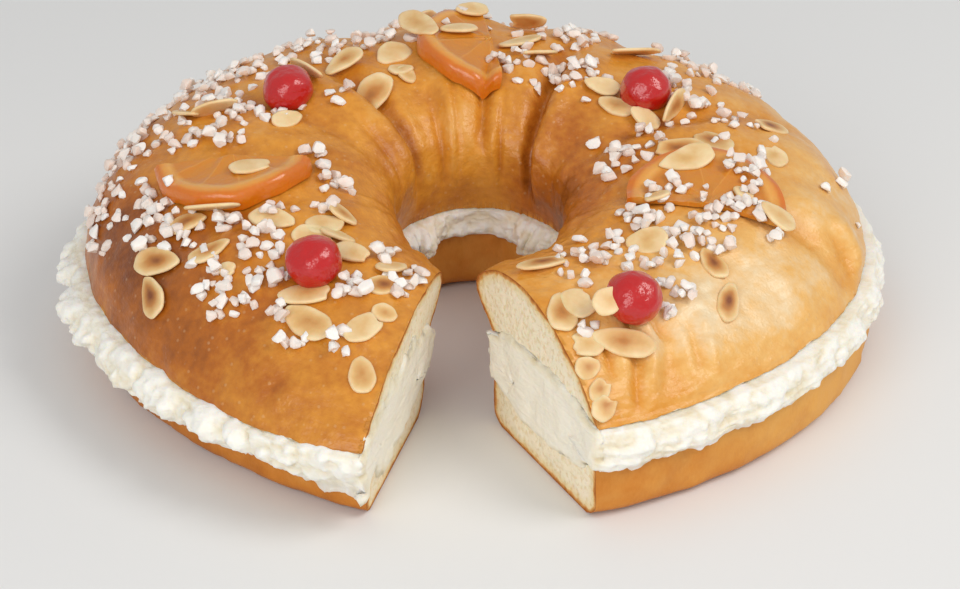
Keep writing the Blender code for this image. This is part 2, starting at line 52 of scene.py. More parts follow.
scene = bpy.context.scene
scene.view_settings.view_transform = "Standard"
camera = bpy.data.objects.new("camera", bpy.data.cameras.new("camera"))
camera.data.sensor_width = 36.0
camera.data.lens = 87.2
camera.location = (0.0018, -0.7490, 0.4571)
line_of_sight = Vector((0.0018, -0.0176, 0.0241)) - camera.location
camera.rotation_euler = line_of_sight.to_track_quat("-Z", "Y").to_euler()
scene.collection.objects.link(camera)
scene.camera = camera


# The lower half of the bread: the base and sides of a ring of brioche dough, baked on a tray and split
# with a long knife. Its sides are a thin matt crust, its cut faces open yellow crumb.

LOAF_RADIUS = 0.1355  # from the hole's middle to the loaf's outer side, on average round the ring
HOLE_RADIUS = 0.0425  # of the hole through the lower half, on average
LOWER_HEIGHT = 0.0215  # of the lower half at its sides
FOOT_ROUNDING = 0.0045  # of the crust where it met the baking tray
LOWER_CREASES = (-53, -12, 40, 79, 97, 141, 205, 233)  # where the dough's sides puckered, in degrees
LAYER_GAP = 0.0004  # kept between one layer and the next
HOLE_MIDDLE = (0.0015, -0.0176, 0.0)  # the hole's middle, seen from the middle of the whole ring's outline
SIDE_RADIUS = 0.12  # makes an angle into a way along the sides, for streaks of a real size
DEEP_CRUMB = 0.02  # the distance from the crust that is noted for crumb hidden by the cream

# Each cut is a plane, given by the way it faces in degrees and how far it passes from the hole's middle
RIGHT_CUT = {"facing": 28.6, "offset": -0.0173, "lean": 0.0, "turn": 0.0}
LEFT_CUT = {"facing": -15.1, "offset": -0.0091, "lean": 0.09, "turn": 2 * math.pi}


def near(angle, middle, reach):
    """A smooth hump of height 1 at an angle of the ring; middle and reach are in degrees."""
    apart = (np.degrees(angle) - middle + 180) % 360 - 180
    return np.exp(-((apart / reach) ** 2))


def outer_radius(angle):
    """Of the loaf's side. The hole lies nearer to the front, where the slice was cut out."""
    swing = 0.0225 * np.sin(angle) + 0.0015 * np.cos(angle)
    corners = 0.0055 * np.cos(2 * angle) + 0.0035 * np.sin(3 * angle)
    return LOAF_RADIUS + swing + corners - 0.0030 * near(angle, 220, 22)


def inner_radius(angle):
    return HOLE_RADIUS - 0.0045 * np.cos(2 * angle)


def lower_height(angle, across):
    """Of the lower half's cut face, from -1 at its outer edge to 1 at the hole: the cream presses it down."""
    side = LOWER_HEIGHT + 0.0020 * np.cos(angle) ** 2 + 0.0025 * across * (np.sin(angle) + 0.4)
    pressed = 0.0015 * near(angle, 268, 40)
    return side - pressed - (0.0055 + 0.003 * near(angle, 268, 40)) * (1 - across**2)


def cut_angle(radius, height, cut):
    """The angle at which a cut's plane passes through a point of that radius and height."""
    offset = cut["offset"] + cut["lean"] * height
    return cut["turn"] + math.radians(cut["facing"]) - np.arccos(np.clip(offset / radius, -1, 1))


def between(inner, outer, across):
    """The radius at a place across the ring, from -1 at the outer one to 1 at the inner one."""
    return (outer + inner) / 2 - (outer - inner) / 2 * across


def to_space(radius, angle, height):
    """Polar coordinates round the hole's middle as X, Y and Z."""
    radius, angle, height = np.broadcast_arrays(radius, angle, height)
    return np.stack([radius * np.cos(angle), radius * np.sin(angle), height], axis=-1)


# A strip is one side of a section. It takes angles and shares of the way along it, from 0 to 1


def lower_face(angle, share):
    across = 1 - 2 * share
    return between(inner_radius(angle), outer_radius(angle), across), lower_height(angle, across)


def lower_side(angle, share, edge, side):
    """From the top edge down to the tray; side is 1 outside and -1 in the hole."""
    high = 1 - share
    swell = 0.0010 * np.sin(np.pi * high**0.8) - FOOT_ROUNDING * np.clip(1 - high / 0.22, 0, 1) ** 2.2
    creases = sum(near(angle, middle, 2.8) for middle in LOWER_CREASES)
    swell = swell - 0.0016 * creases * high * np.minimum(1, share / 0.2)
    return edge(angle) + side * swell, lower_height(angle, -side) * high


def lower_outside(angle, share):
    return lower_side(angle, share, outer_radius, 1)


def lower_base(angle, share):
    inner, outer = inner_radius(angle) + FOOT_ROUNDING, outer_radius(angle) - FOOT_ROUNDING
    return between(inner, outer, 2 * share - 1), 0 * angle * share


def lower_inside(angle, share):
    return lower_side(angle, 1 - share, inner_radius, -1)


def strip_ends(strip, share):
    """The angles at which the right cut and the left cut pass through a strip, closed in on from a guess."""
    first, last = np.full(share.shape, math.radians(-70)), np.full(share.shape, math.radians(248))
    for _ in range(12):
        first = cut_angle(*strip(first, share), RIGHT_CUT)
        last = cut_angle(*strip(last, share), LEFT_CUT)
    return first, last


def sweep(strip, share, steps, material=0):
    """A strip carried round the ring from one cut to the other, as a grid of points."""
    first, last = strip_ends(strip, share)
    angle = first + (last - first) * np.linspace(0, 1, steps + 1)[:, None]
    radius, height = strip(angle, share)
    points = to_space(radius, angle, height)
    return {"points": points, "angle": angle, "share": share + 0 * angle, "material": material}


def cut_face(strips, cut, rings, spine_height, material=1):
    """A cut end, in rings that shrink from the section's outline to a line along its middle."""
    loop = []
    for strip, share in strips:
        angle = strip_ends(strip, share)[0 if cut is RIGHT_CUT else 1]
        loop.append(np.stack(np.broadcast_arrays(*strip(angle, share))))
    radius, height = np.concatenate(loop, axis=1)
    margin = 0.25 * np.ptp(radius)
    spine = np.clip(radius, radius.min() + margin, radius.max() - margin)
    inwards = np.linspace(0, 1, rings + 1)[:, None] ** 1.3
    radius = radius + (spine - radius) * inwards
    height = height + (spine_height - height) * inwards
    angle = cut_angle(radius, height, cut)
    points = to_space(radius, angle, height)
    return {"points": points, "angle": angle, "share": inwards + 0 * angle, "material": material, "cut": cut}


def facing_out(skin, core_height):
    """Whether the quads of a skin, wound row by row, look away from the ring's core."""
    points = skin["points"]
    row, column = points.shape[0] // 2, points.shape[1] // 2
    if "cut" in skin:
        row = max(1, points.shape[0] // 4)
    here = points[row, column]
    normal = np.cross(points[row, column + 1] - here, points[row - 1, column] - here)
    angle = skin["angle"][row, column]
    if "cut" in skin:
        side = 1 if skin["cut"] is LEFT_CUT else -1
        outwards = side * np.array([-np.sin(angle), np.cos(angle), 0])
    else:
        core = to_space((outer_radius(angle) + inner_radius(angle)) / 2, angle, core_height)
        outwards = here - core
    return np.dot(normal, outwards) > 0


def joined_mesh(name, skins, core_height, notes):
    """One mesh of several skins, welded where their edges meet. notes name the values kept on the points."""
    points, quads, materials = [], [], []
    start = 0
    for skin in skins:
        rows, columns = skin["points"].shape[:2]
        index = start + np.arange(rows * columns).reshape(rows, columns)
        corners = [index[1:, :-1], index[1:, 1:], index[:-1, 1:], index[:-1, :-1]]
        faces = np.stack(corners, axis=-1).reshape(-1, 4)
        if not facing_out(skin, core_height):
            faces = faces[:, ::-1]
        points.append(skin["points"].reshape(-1, 3))
        quads.append(faces)
        materials.append(np.full(len(faces), skin["material"]))
        start += rows * columns
    mesh = bpy.data.meshes.new(name)
    mesh.from_pydata(np.concatenate(points).tolist(), [], np.concatenate(quads).tolist())
    mesh.polygons.foreach_set("material_index", np.concatenate(materials))
    for note in notes:
        values = [np.broadcast_to(skin[note], skin["points"].shape[:2]).ravel() for skin in skins]
        write_note(mesh, note, np.concatenate(values))
    weld(mesh, 2e-6)
    return mesh


def weld(mesh, reach, turn_out=False):
    """Joins the points of a mesh that meet and, where asked, turns its faces to look outwards."""
    work = bmesh.new()
    work.from_mesh(mesh)
    bmesh.ops.remove_doubles(work, verts=work.verts, dist=reach)
    if turn_out:
        bmesh.ops.recalc_face_normals(work, faces=work.faces)
    work.to_mesh(mesh)
    work.free()


def write_note(mesh, note, values):
    layer = mesh.attributes.new(note, "FLOAT", "POINT")
    layer.data.foreach_set("value", np.ascontiguousarray(values, dtype=np.float32))


def read_note(mesh, note):
    values = np.zeros(len(mesh.vertices), np.float32)
    mesh.attributes[note].data.foreach_get("value", values)
    return values


def read_points(mesh):
    """The places and the normals of a mesh's points."""
    places = np.zeros(len(mesh.vertices) * 3, np.float32)
    normals = np.zeros(len(mesh.vertices) * 3, np.float32)
    mesh.vertices.foreach_get("co", places)
    mesh.vertex_normals.foreach_get("vector", normals)
    return places.reshape(-1, 3), normals.reshape(-1, 3)


def swell(mesh, distance):
    """Moves each point of a mesh along its normal."""
    places, normals = read_points(mesh)
    mesh.vertices.foreach_set("co", (places + normals * distance[:, None]).astype(np.float32).ravel())
    mesh.update()


def cloud(points, size, octaves=2, shift=0.0):
    """Random relief from about -1 to 1 at each point, with swells of the given size in metres."""
    places = (np.asarray(points, float) / size + shift).tolist()
    return np.array([noise.fractal(place, 0.9, 2.0, octaves) for place in places])


def linear(code):
    """An sRGB hex colour as the linear values that a shader works in."""
    values = [int(code[place : place + 2], 16) / 255 for place in (1, 3, 5)]
    values = [value / 12.92 if value <= 0.04045 else ((value + 0.055) / 1.055) ** 2.4 for value in values]
    return (*values, 1.0)


def node(tree, kind, settings={}, inputs={}, stops=()):
    """Adds a shader node. settings are its properties, inputs its values or the sockets that feed them, and
    stops the places and colours of a ramp."""
    made = tree.nodes.new("ShaderNode" + kind)
    for name, value in settings.items():
        setattr(made, name, value)
    for name, value in inputs.items():
        if isinstance(value, bpy.types.NodeSocket):
            tree.links.new(value, made.inputs[name])
        else:
            made.inputs[name].default_value = value
    for number, (place, color) in enumerate(stops):
        elements = made.color_ramp.elements
        stop = elements[number] if number < 2 else elements.new(place)
        stop.position = place
        stop.color = color
    return made


def new_material(name, settings):
    """A Principled material whose own sockets hold everything that is the same all over the surface."""
    material = bpy.data.materials.new(name)
    material.use_nodes = True
    tree = material.node_tree
    shader = tree.nodes["Principled BSDF"]
    for socket, value in settings.items():
        shader.inputs[socket].default_value = value
    place = node(tree, "TexCoord").outputs["Object"]
    return material, tree, shader, place


def add_piece(name, mesh, materials, replaced):
    """Puts a finished mesh into the scene, in place of the solids that it stands for."""
    for material in materials:
        mesh.materials.append(material)
    piece = bpy.data.objects.new(name, mesh)
    piece.location = HOLE_MIDDLE
    scene.collection.objects.link(piece)
    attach(piece, "root")
    if replaced:
        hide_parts(replaced)


def unroll(tree, stretch):
    """Texture coordinates that run along the ring, up and across it, in metres, stretched along the ring."""
    along = node(tree, "Attribute", {"attribute_name": "along"}).outputs["Fac"]
    over = node(tree, "Attribute", {"attribute_name": "over"}).outputs["Fac"]
    long = node(tree, "Math", {"operation": "DIVIDE"}, {0: along, 1: stretch}).outputs[0]
    return node(tree, "CombineXYZ", {}, {"X": long, "Y": over}).outputs[0]


def crust_distance(face, crust_strips):
    """How far each point of a cut face is from the crust round it."""
    ends = 0 if face["cut"] is RIGHT_CUT else 1
    rails = []
    for strip, share in crust_strips:
        radius, height = strip(strip_ends(strip, share)[ends], share)
        rails.append(np.stack(np.broadcast_arrays(radius, height), axis=-1))
    rail = np.concatenate(rails)
    points = face["points"]
    flat = np.stack([np.hypot(points[..., 0], points[..., 1]), points[..., 2]], axis=-1)
    return np.sqrt(((flat[:, :, None, :] - rail[None, None]) ** 2).sum(axis=-1)).min(axis=2)


# Lower crust: the sides and base of a baked loaf, which the egg wash missed. It gives a dry, even
# orange-brown with darker creases and hardly any shine. Painted shade browns its left side and painted light
# pales its right front.
lower_crust, tree, shader, place = new_material(
    "baked_lower_crust",
    {"IOR": 1.45, "Roughness": 0.55, "Specular IOR Level": 0.35, "Coat Weight": 0.05, "Coat Roughness": 0.4},
)
# This attribute holds painted shade and painted light along with the crust's own browning.
bake_light_and_shade = node(tree, "Attribute", {"attribute_name": "bake_light_and_shade"}).outputs["Fac"]
blotches = node(tree, "TexNoise", {}, {"Vector": place, "Scale": 1 / 0.011, "Detail": 4.0}).outputs["Fac"]
upright = unroll(tree, 0.45)
streaks = node(tree, "TexNoise", {}, {"Vector": upright, "Scale": 1 / 0.0022, "Detail": 3.0}).outputs["Fac"]
mottled = node(tree, "Math", {"operation": "MULTIPLY_ADD"}, {0: blotches, 1: 0.34, 2: bake_light_and_shade}).outputs[0]
mottled = node(tree, "Math", {"operation": "MULTIPLY_ADD"}, {0: streaks, 1: 0.10, 2: mottled}).outputs[0]
crust_color = node(
    tree,
    "ValToRGB",
    {},
    {"Fac": mottled},
    [
        (0.30, linear("#E4A650")),
        (0.95, linear("#6E3008")),
        (0.55, linear("#CC7E2A")),
        (0.75, linear("#A65A14")),
    ],
)
tree.links.new(crust_color.outputs["Color"], shader.inputs["Base Color"])
pitted = node(tree, "TexNoise", {}, {"Vector": place, "Scale": 1 / 0.0012, "Detail": 3.0}).outputs["Fac"]
relief = node(tree, "Math", {"operation": "MULTIPLY_ADD"}, {0: streaks, 1: 0.6, 2: pitted}).outputs[0]
bump = node(tree, "Bump", {}, {"Height": relief, "Distance": 0.0003, "Strength": 0.6})
tree.links.new(bump.outputs[0], shader.inputs["Normal"])

# Crumb: enriched dough that has risen, torn open by the knife. It gives a matt cream yellow full of small
# pores, which are darkened with painted shade, and a thin brown line where the crust begins.
crumb, tree, shader, place = new_material(
    "enriched_crumb",
    {
        "IOR": 1.4,
        "Roughness": 0.85,
        "Specular IOR Level": 0.2,
        "Subsurface Weight": 0.15,
        "Subsurface Scale": 0.002,
    },
)
rind = node(tree, "Attribute", {"attribute_name": "rind"}).outputs["Fac"]
ragged = node(tree, "TexNoise", {}, {"Vector": place, "Scale": 1 / 0.0025, "Detail": 3.0}).outputs["Fac"]
depth = node(tree, "Math", {"operation": "MULTIPLY_ADD"}, {0: ragged, 1: -0.0022, 2: rind}).outputs[0]
inside = node(tree, "MapRange", {}, {"Value": depth, "From Min": -0.0008, "From Max": 0.0042}).outputs[0]
pores = node(tree, "TexNoise", {}, {"Vector": place, "Scale": 1 / 0.0017, "Detail": 2.0}).outputs["Fac"]
pore_wall = node(tree, "MapRange", {}, {"Value": pores, "From Min": 0.34, "From Max": 0.56}).outputs[0]
crumb_color = node(
    tree,
    "ValToRGB",
    {},
    {"Fac": inside},
    [
        (0.0, linear("#A9622A")),
        (1.0, linear("#F3E6CB")),
        (0.20, linear("#D79B55")),
        (0.36, linear("#EBD4A4")),
    ],
)
# The pores are drawn darker: painted shade in the pits.
pore_shade_color = node(
    tree, "ValToRGB", {}, {"Fac": pore_wall}, [(0.0, linear("#E9D7AE")), (0.7, linear("#FFFFFF"))]
)
shaded = node(
    tree,
    "Mix",
    {"data_type": "RGBA", "blend_type": "MULTIPLY"},
    {"Factor": 0.5, 6: crumb_color.outputs["Color"], 7: pore_shade_color.outputs["Color"]},
)
tree.links.new(shaded.outputs[2], shader.inputs["Base Color"])
torn = node(tree, "TexNoise", {}, {"Vector": place, "Scale": 1 / 0.0014, "Detail": 4.0}).outputs["Fac"]
holes = node(tree, "Math", {"operation": "MULTIPLY_ADD"}, {0: torn, 1: 0.8, 2: pore_wall}).outputs[0]
bump = node(tree, "Bump", {}, {"Height": holes, "Distance": 0.0004, "Strength": 0.5})
tree.links.new(bump.outputs[0], shader.inputs["Normal"])

side_share = np.linspace(0, 1, 19)
flat_share = np.linspace(0, 1, 9)
fine_share = np.linspace(0, 1, 61)
lower_skins = [
    sweep(lower_outside, side_share, steps=440),
    sweep(lower_inside, side_share, steps=440),
    sweep(lower_base, flat_share, steps=440),
    sweep(lower_face, flat_share, steps=440, material=1),
]
lower_loop = [
    (lower_face, fine_share),
    (lower_outside, side_share),
    (lower_base, fine_share),
    (lower_inside, side_share),
]
for cut in (RIGHT_CUT, LEFT_CUT):
    face = cut_face(lower_loop, cut, rings=14, spine_height=0.0095)
    face["rind"] = crust_distance(face, lower_loop[1:])
    lower_skins.append(face)
for skin in lower_skins:
    angle = skin["angle"]
    foot = np.clip(1 - skin["points"][..., 2] / 0.008, 0, 1)
    skin["along"] = angle * SIDE_RADIUS
    skin["over"] = skin["points"][..., 2]
    # Browner towards the tray; painted shade browns the left side and painted light pales the right front.
    skin["bake_light_and_shade"] = 0.26 + 0.14 * foot + 0.10 * near(angle, 205, 70) - 0.18 * near(angle, -18, 26)
    skin.setdefault("rind", np.full(angle.shape, DEEP_CRUMB if skin["material"] else 0.0))
lower_notes = ["bake_light_and_shade", "rind", "along", "over"]
lower_mesh = joined_mesh("bread_bottom", lower_skins, core_height=0.011, notes=lower_notes)
places, _ = read_points(lower_mesh)
dents = 0.0007 * cloud(places, 0.013) + 0.0003 * cloud(places, 0.004)
swell(lower_mesh, dents * np.clip(places[:, 2] / 0.004, 0, 1))
lower_mesh.shade_smooth()
lower_mesh.set_sharp_from_angle(angle=math.radians(55))
add_piece("lower_bread", lower_mesh, [lower_crust, crumb], "bread_bottom")


# The filling: cream whipped stiff, piped and spread with a spatula between the two halves and squeezed
# out past both crusts. It is loose and fluffy at the left and smoother at the right.

LIP_HEIGHT = 0.0350  # where the upper half's crust ends, above the cream
BROW_TUCK = 0.0050  # how far the crust over the hole curls back under itself


def lip_radius(angle):
    """Of the upper half's outer lip, which overhangs at the left and stands back elsewhere."""
    return outer_radius(angle) - 0.0028 + 0.0158 * near(angle, 240, 42) + 0.0045 * near(angle, 168, 36)


def brow_radius(angle):
    """Of the crust's innermost bulge over the hole."""
    return inner_radius(angle) - 0.0075 + 0.0015 * near(angle, 90, 40)


def seam_radius(angle):
    return brow_radius(angle) + BROW_TUCK


def lip_height(angle):
    return LIP_HEIGHT - 0.0018 * near(angle, 225, 30) + 0.0010 * near(angle, 285, 12)


def under_height(angle, across):
    """The upper half's cut underside, arched over the cream, most on the hole's side."""
    return lip_height(angle) + 0.0055 * (1 - across**2) * (1 + 0.4 * across)


def outer_squeeze(angle):
    """How far the cream bulges past the crust."""
    return 0.0032 + 0.0085 * near(angle, 200, 52) + 0.0020 * near(angle, -25, 40)


def outer_hang(angle):
    """How far the cream hangs down over the lower crust."""
    return 0.0012 + 0.0070 * near(angle, 222, 40) + 0.0035 * near(angle, 252, 12)


def hole_squeeze(angle):
    """How far the cream bulges into the hole, most at two blobs towards the back."""
    front = 0.0015 * near(angle, 270, 60)
    return 0.0008 + 0.0090 * near(angle, 60, 13) + 0.0080 * near(angle, 124, 15) + front


def hole_hang(angle):
    return 0.0006 + 0.0070 * near(angle, 60, 12) + 0.0055 * near(angle, 126, 14)


def lumps(angle, count):
    """The run of swells that the piping leaves, from 0 to 1."""
    return np.abs(np.sin(angle * count / 2 + 0.9 * np.sin(angle * 5)))


def cream_swell(share, low_corner, high_corner, squeeze, hang, lump, side):
    """From below the lower crust's corner up to the upper crust; side is 1 outside."""
    (low_radius, low), (high_radius, high) = low_corner, high_corner
    bulge = np.sin(np.pi * (0.06 + 0.88 * share)) ** 0.8
    straight = low_radius + (high_radius - low_radius) * share
    clearance = 0.0014 * np.clip(2 - 4 * share, 0, 1)
    clear_of_crust = side * np.maximum(side * straight, side * low_radius + clearance)
    out = 0.0006 + squeeze * (0.72 + 0.28 * lump) * bulge
    bottom = low - hang * (0.6 + 0.4 * lump)
    top = high - 2 * LAYER_GAP
    return clear_of_crust + side * out, bottom + (top - bottom) * share


def cream_outside(angle, share):
    low = outer_radius(angle), lower_height(angle, -1)
    high = lip_radius(angle), lip_height(angle)
    squeeze, hang = outer_squeeze(angle), outer_hang(angle)
    return cream_swell(share, low, high, squeeze, hang, lumps(angle, 26), side=1)


def cream_inside(angle, share):
    low = inner_radius(angle), lower_height(angle, 1)
    high = seam_radius(angle), lip_height(angle)
    squeeze, hang = hole_squeeze(angle), hole_hang(angle)
    return cream_swell(1 - share, low, high, squeeze, hang, lumps(angle, 20), side=-1)


def cream_low(angle, share):
    across = 1 - 2 * share
    return between(inner_radius(angle), outer_radius(angle), across), lower_height(angle, across) + LAYER_GAP


def cream_high(angle, share):
    across = 2 * share - 1
    return between(seam_radius(angle), lip_radius(angle), across), under_height(angle, across) - LAYER_GAP


def link(start, finish):
    """A strip that closes the gap between the end of one and the beginning of the next."""

    def strip(angle, share):
        here, there = start(angle, np.ones_like(share)), finish(angle, np.zeros_like(share))
        return here[0] + (there[0] - here[0]) * share, here[1] + (there[1] - here[1]) * share

    return strip


def smeared_face(face, reach):
    """The cream's cut face as the knife left it, standing proud and dragged out over the crumb around it."""
    cut = face["cut"]
    side = 1 if cut is LEFT_CUT else -1
    facing = math.radians(cut["facing"])
    proud = side * np.array([math.cos(facing), math.sin(facing), -cut["lean"]])
    outwards = face["points"][0] - face["points"][-1]
    outwards = outwards / np.linalg.norm(outwards, axis=1)[:, None]
    dragged = reach * np.clip(0.75 + 0.9 * cloud(face["points"][0], 0.0090, octaves=3, shift=4.0), 0.1, 1.8)
    steep = np.clip((np.abs(outwards[:, 2]) - 0.3) / 0.4, 0, 1)
    dragged *= 0.05 + 0.95 * steep
    share = face["share"]
    spread = np.clip(share / 0.03, 0, 1) * np.exp(-((np.clip(share - 0.03, 0, 1) / 0.11) ** 2))
    sunk = 0.0006 * steep * np.clip(share / 0.015, 0, 1)
    rise = 0.0016 * np.clip((share - 0.03) / 0.09, 0, 1) - sunk
    smear = spread[..., None] * dragged[:, None] * outwards
    face["points"] = face["points"] + smear + rise[..., None] * proud
    return face


# Whipped cream: fat and air bubbles too small to see, so its grain is drawn coarser than it is. It gives a
# soft warm white that light sinks into, with a faint moist sheen. It is drawn yellower between its lumps, as
# painted shade, and yellower on its cut faces, most of all on their smeared lips.
whipped_cream, tree, shader, place = new_material(
    "whipped_cream",
    {
        "IOR": 1.4,
        "Roughness": 0.5,
        "Specular IOR Level": 0.35,
        "Subsurface Weight": 0.35,
        "Subsurface Scale": 0.003,
        "Subsurface Radius": (1.0, 0.8, 0.55),
    },
)
# This attribute holds painted shade between the lumps and a yellower tint on the cut faces.
hollow = node(tree, "Attribute", {"attribute_name": "hollow"}).outputs["Fac"]
cream_color = node(
    tree,
    "ValToRGB",
    {},
    {"Fac": hollow},
    [(0.25, linear("#F7F3E9")), (0.95, linear("#E2D0A8")), (0.6, linear("#F1E8D3"))],
)
tree.links.new(cream_color.outputs["Color"], shader.inputs["Base Color"])
foam = node(tree, "TexNoise", {}, {"Vector": place, "Scale": 1 / 0.0016, "Detail": 4.0}).outputs["Fac"]
lengthwise = unroll(tree, 4.0)
wiped = node(tree, "TexNoise", {}, {"Vector": lengthwise, "Scale": 1 / 0.0016, "Detail": 3.0}).outputs["Fac"]
relief = node(tree, "Math", {"operation": "MULTIPLY_ADD"}, {0: foam, 1: 0.7, 2: wiped}).outputs[0]
bump = node(tree, "Bump", {}, {"Height": relief, "Distance": 0.0007, "Strength": 0.8})
tree.links.new(bump.outputs[0], shader.inputs["Normal"])

swell_share = np.linspace(0, 1, 29)
shoulder_share = np.linspace(0, 1, 5)
cream_loop = [
    (cream_low, fine_share),
    (link(cream_low, cream_outside), shoulder_share),
    (cream_outside, swell_share),
    (link(cream_outside, cream_high), shoulder_share),
    (cream_high, fine_share),
    (link(cream_high, cream_inside), shoulder_share),
    (cream_inside, swell_share),
    (link(cream_inside, cream_low), shoulder_share),
]
cream_skins = []
for strip, share in cream_loop:
    hidden = strip in (cream_low, cream_high)
    cream_skins.append(sweep(strip, flat_share[::2] if hidden else share, steps=860))
for cut, reach in ((RIGHT_CUT, 0.0026), (LEFT_CUT, 0.0052)):
    face = cut_face(cream_loop, cut, rings=22, spine_height=0.0250, material=0)
    cream_skins.append(smeared_face(face, reach))
for skin in cream_skins:
    skin["along"] = skin["angle"] * SIDE_RADIUS
    skin["over"] = skin["points"][..., 2]
    skin["cutmark"] = np.minimum(1, skin["share"] * 6) * ("cut" in skin)
cream_notes = ["along", "over", "cutmark"]
cream_mesh = joined_mesh("cream_filling", cream_skins, core_height=0.028, notes=cream_notes)
places, normals = read_points(cream_mesh)
angle = np.arctan2(places[:, 1], places[:, 0])
on_cut = read_note(cream_mesh, "cutmark")
outside = np.hypot(places[:, 0], places[:, 1]) > 0.09
left = near(angle, 200, 62)
fluff = 3.4 * np.abs(cloud(places, 0.0115, octaves=3)) + 0.7 * np.abs(cloud(places, 0.0030, shift=6.0)) - 0.9
along = np.stack([read_note(cream_mesh, "along") / 5, places[:, 2], 0 * angle], axis=1)
streak = cloud(along, 0.0030, shift=5.0)
wave = cloud(places, 0.017, shift=9.0)
free_side = np.clip(1 - np.abs(normals[:, 2]) * 1.2, 0, 1)
rough = (0.0008 + 0.0013 * left) * fluff + 0.0007 * streak + 0.0010 * wave
rough += 0.0012 * near(angle, 203, 16) - 0.0012 * near(angle, -15, 50) * outside
piped = (near(angle, 60, 13) + near(angle, 124, 15)) * (1 - outside)
rough += 0.0030 * piped * (np.abs(np.sin(26 * angle + 260 * places[:, 2])) - 0.4)
rough += 0.0016 * near(angle, 247, 6) * outside
rough = rough * np.where(outside, 1, 0.8) * (1 - on_cut) * np.clip(free_side + 0.25, 0, 1)
smeared = 0.0004 + 0.0008 * cloud(places, 0.011, octaves=4, shift=2.0)
swell(cream_mesh, rough + smeared * on_cut)
ragged = np.clip(cloud(places * [1, 1, 0.2], 0.0070, octaves=3, shift=8.0) + 0.3, 0, 1.2)
ragged *= np.clip((0.0290 - places[:, 2]) / 0.010, 0, 1)
places, _ = read_points(cream_mesh)
low_side = outside * (1 - on_cut) * np.clip(free_side * 2, 0, 1)
blob = near(angle, 247, 7) * np.clip((0.026 - places[:, 2]) / 0.01, 0, 1)
places[:, 2] -= (0.0026 * ragged + 0.0045 * blob) * low_side
cream_mesh.vertices.foreach_set("co", places.astype(np.float32).ravel())
cream_mesh.update()
on_edge = 4 * on_cut * (1 - on_cut)
# Painted shade: the hollows between the lumps and streaks are drawn yellower.
shade_between_lumps = np.clip(0.42 - 0.30 * fluff - 0.22 * streak, 0, 1) * (1 - on_cut)
write_note(cream_mesh, "hollow", shade_between_lumps + 0.45 * on_cut + 0.3 * on_edge)
cream_mesh.shade_smooth()
add_piece("whipped_cream", cream_mesh, [whipped_cream], "cream_filling")


# The upper half of the bread: the domed top of the same loaf, brushed with egg and baked to a shiny
# gold, with the folds where the roll of dough was drawn round into a ring. It sits on the cream.

CREST_HEIGHT = 0.0735  # of the dome above the table, on average
DOME_RADIUS = 0.10  # of the crest, which makes an angle into a way along it
DOME_REACH = 0.070  # over the crust from its crest to either edge


def crest_height(angle):
    """Higher at the back, and pressed down by the knife beside the left cut."""
    pressed = 0.0080 * near(angle, 258, 14) + 0.0030 * near(angle, 235, 20)
    sway = 0.0110 * np.sin(angle) - 0.0032 * np.cos(angle)
    return CREST_HEIGHT + sway + 0.0030 * near(angle, 292, 22) - pressed


def make_waves(seed, count, shortest, longest):
    """Waves in random directions, their lengths in metres, for ripple to add up."""
    draw = np.random.default_rng(seed)
    way = draw.normal(size=(count, 3))
    way /= np.linalg.norm(way, axis=1)[:, None]
    length = draw.uniform(shortest, longest, count)
    return way * (2 * np.pi / length)[:, None], draw.uniform(0, 2 * np.pi, count)


def ripple(points, waves):
    ways, phases = waves
    return np.sin(points @ ways.T + phases).sum(axis=-1) / math.sqrt(2 * len(phases))


CRUST_WAVES = make_waves(seed=5, count=9, shortest=0.03, longest=0.08)

# Folds of the dough: angle, how far the angle shifts from the outer side to the hole, middle and reach
# over the dome (-1 at the outer lip, 1 at the seam), depth, half width in degrees, the side that overlaps
FOLDS = [
    (66, -6, 0.50, 0.52, 0.0070, 3.2, -1),
    (127, -6, 0.45, 0.42, 0.0060, 3.8, 1),
    (88, 3, 0.45, 0.26, 0.0032, 2.6, -1),
    (108, 2, 0.65, 0.30, 0.0022, 3.0, -1),
    (-7, 6, -0.70, 0.32, 0.0036, 3.0, 1),
    (-50, 16, -0.55, 0.32, 0.0024, 3.2, 1),
    (152, 4, 0.10, 0.35, 0.0022, 3.6, -1),
    (198, -6, -0.35, 0.40, 0.0020, 4.0, 1),
    (28, 5, -0.15, 0.50, 0.0026, 3.8, -1),
    (60, 2, -0.62, 0.36, 0.0036, 4.0, 1),
    (112, -3, -0.60, 0.36, 0.0032, 4.2, -1),
    (165, 3, -0.70, 0.30, 0.0028, 3.6, 1),
]
KNOT = {"angle": 90, "across": -0.36, "width": 4.5, "reach": 0.16, "height": 0.0040}


def fold_relief(angle, across):
    """Grooves with one swollen side, where one roll of dough laps over the next, and a knot at the back."""
    relief = np.zeros(np.broadcast(angle, across).shape)
    for middle, shift, centre, reach, depth, width, side in FOLDS:
        apart = (np.degrees(angle) - middle - shift * (across - centre) + 180) % 360 - 180
        along = np.exp(-(((across - centre) / reach) ** 4))
        groove = np.exp(-((apart / width) ** 2))
        swelling = np.exp(-(((apart - side * 2.2 * width) / (2.0 * width)) ** 2))
        relief += along * depth * (0.55 * swelling - groove)
    over = np.exp(-(((across - KNOT["across"]) / KNOT["reach"]) ** 2))
    relief += KNOT["height"] * over * near(angle, KNOT["angle"], KNOT["width"])
    return relief * np.clip((1 - np.abs(across)) / 0.10, 0, 1)


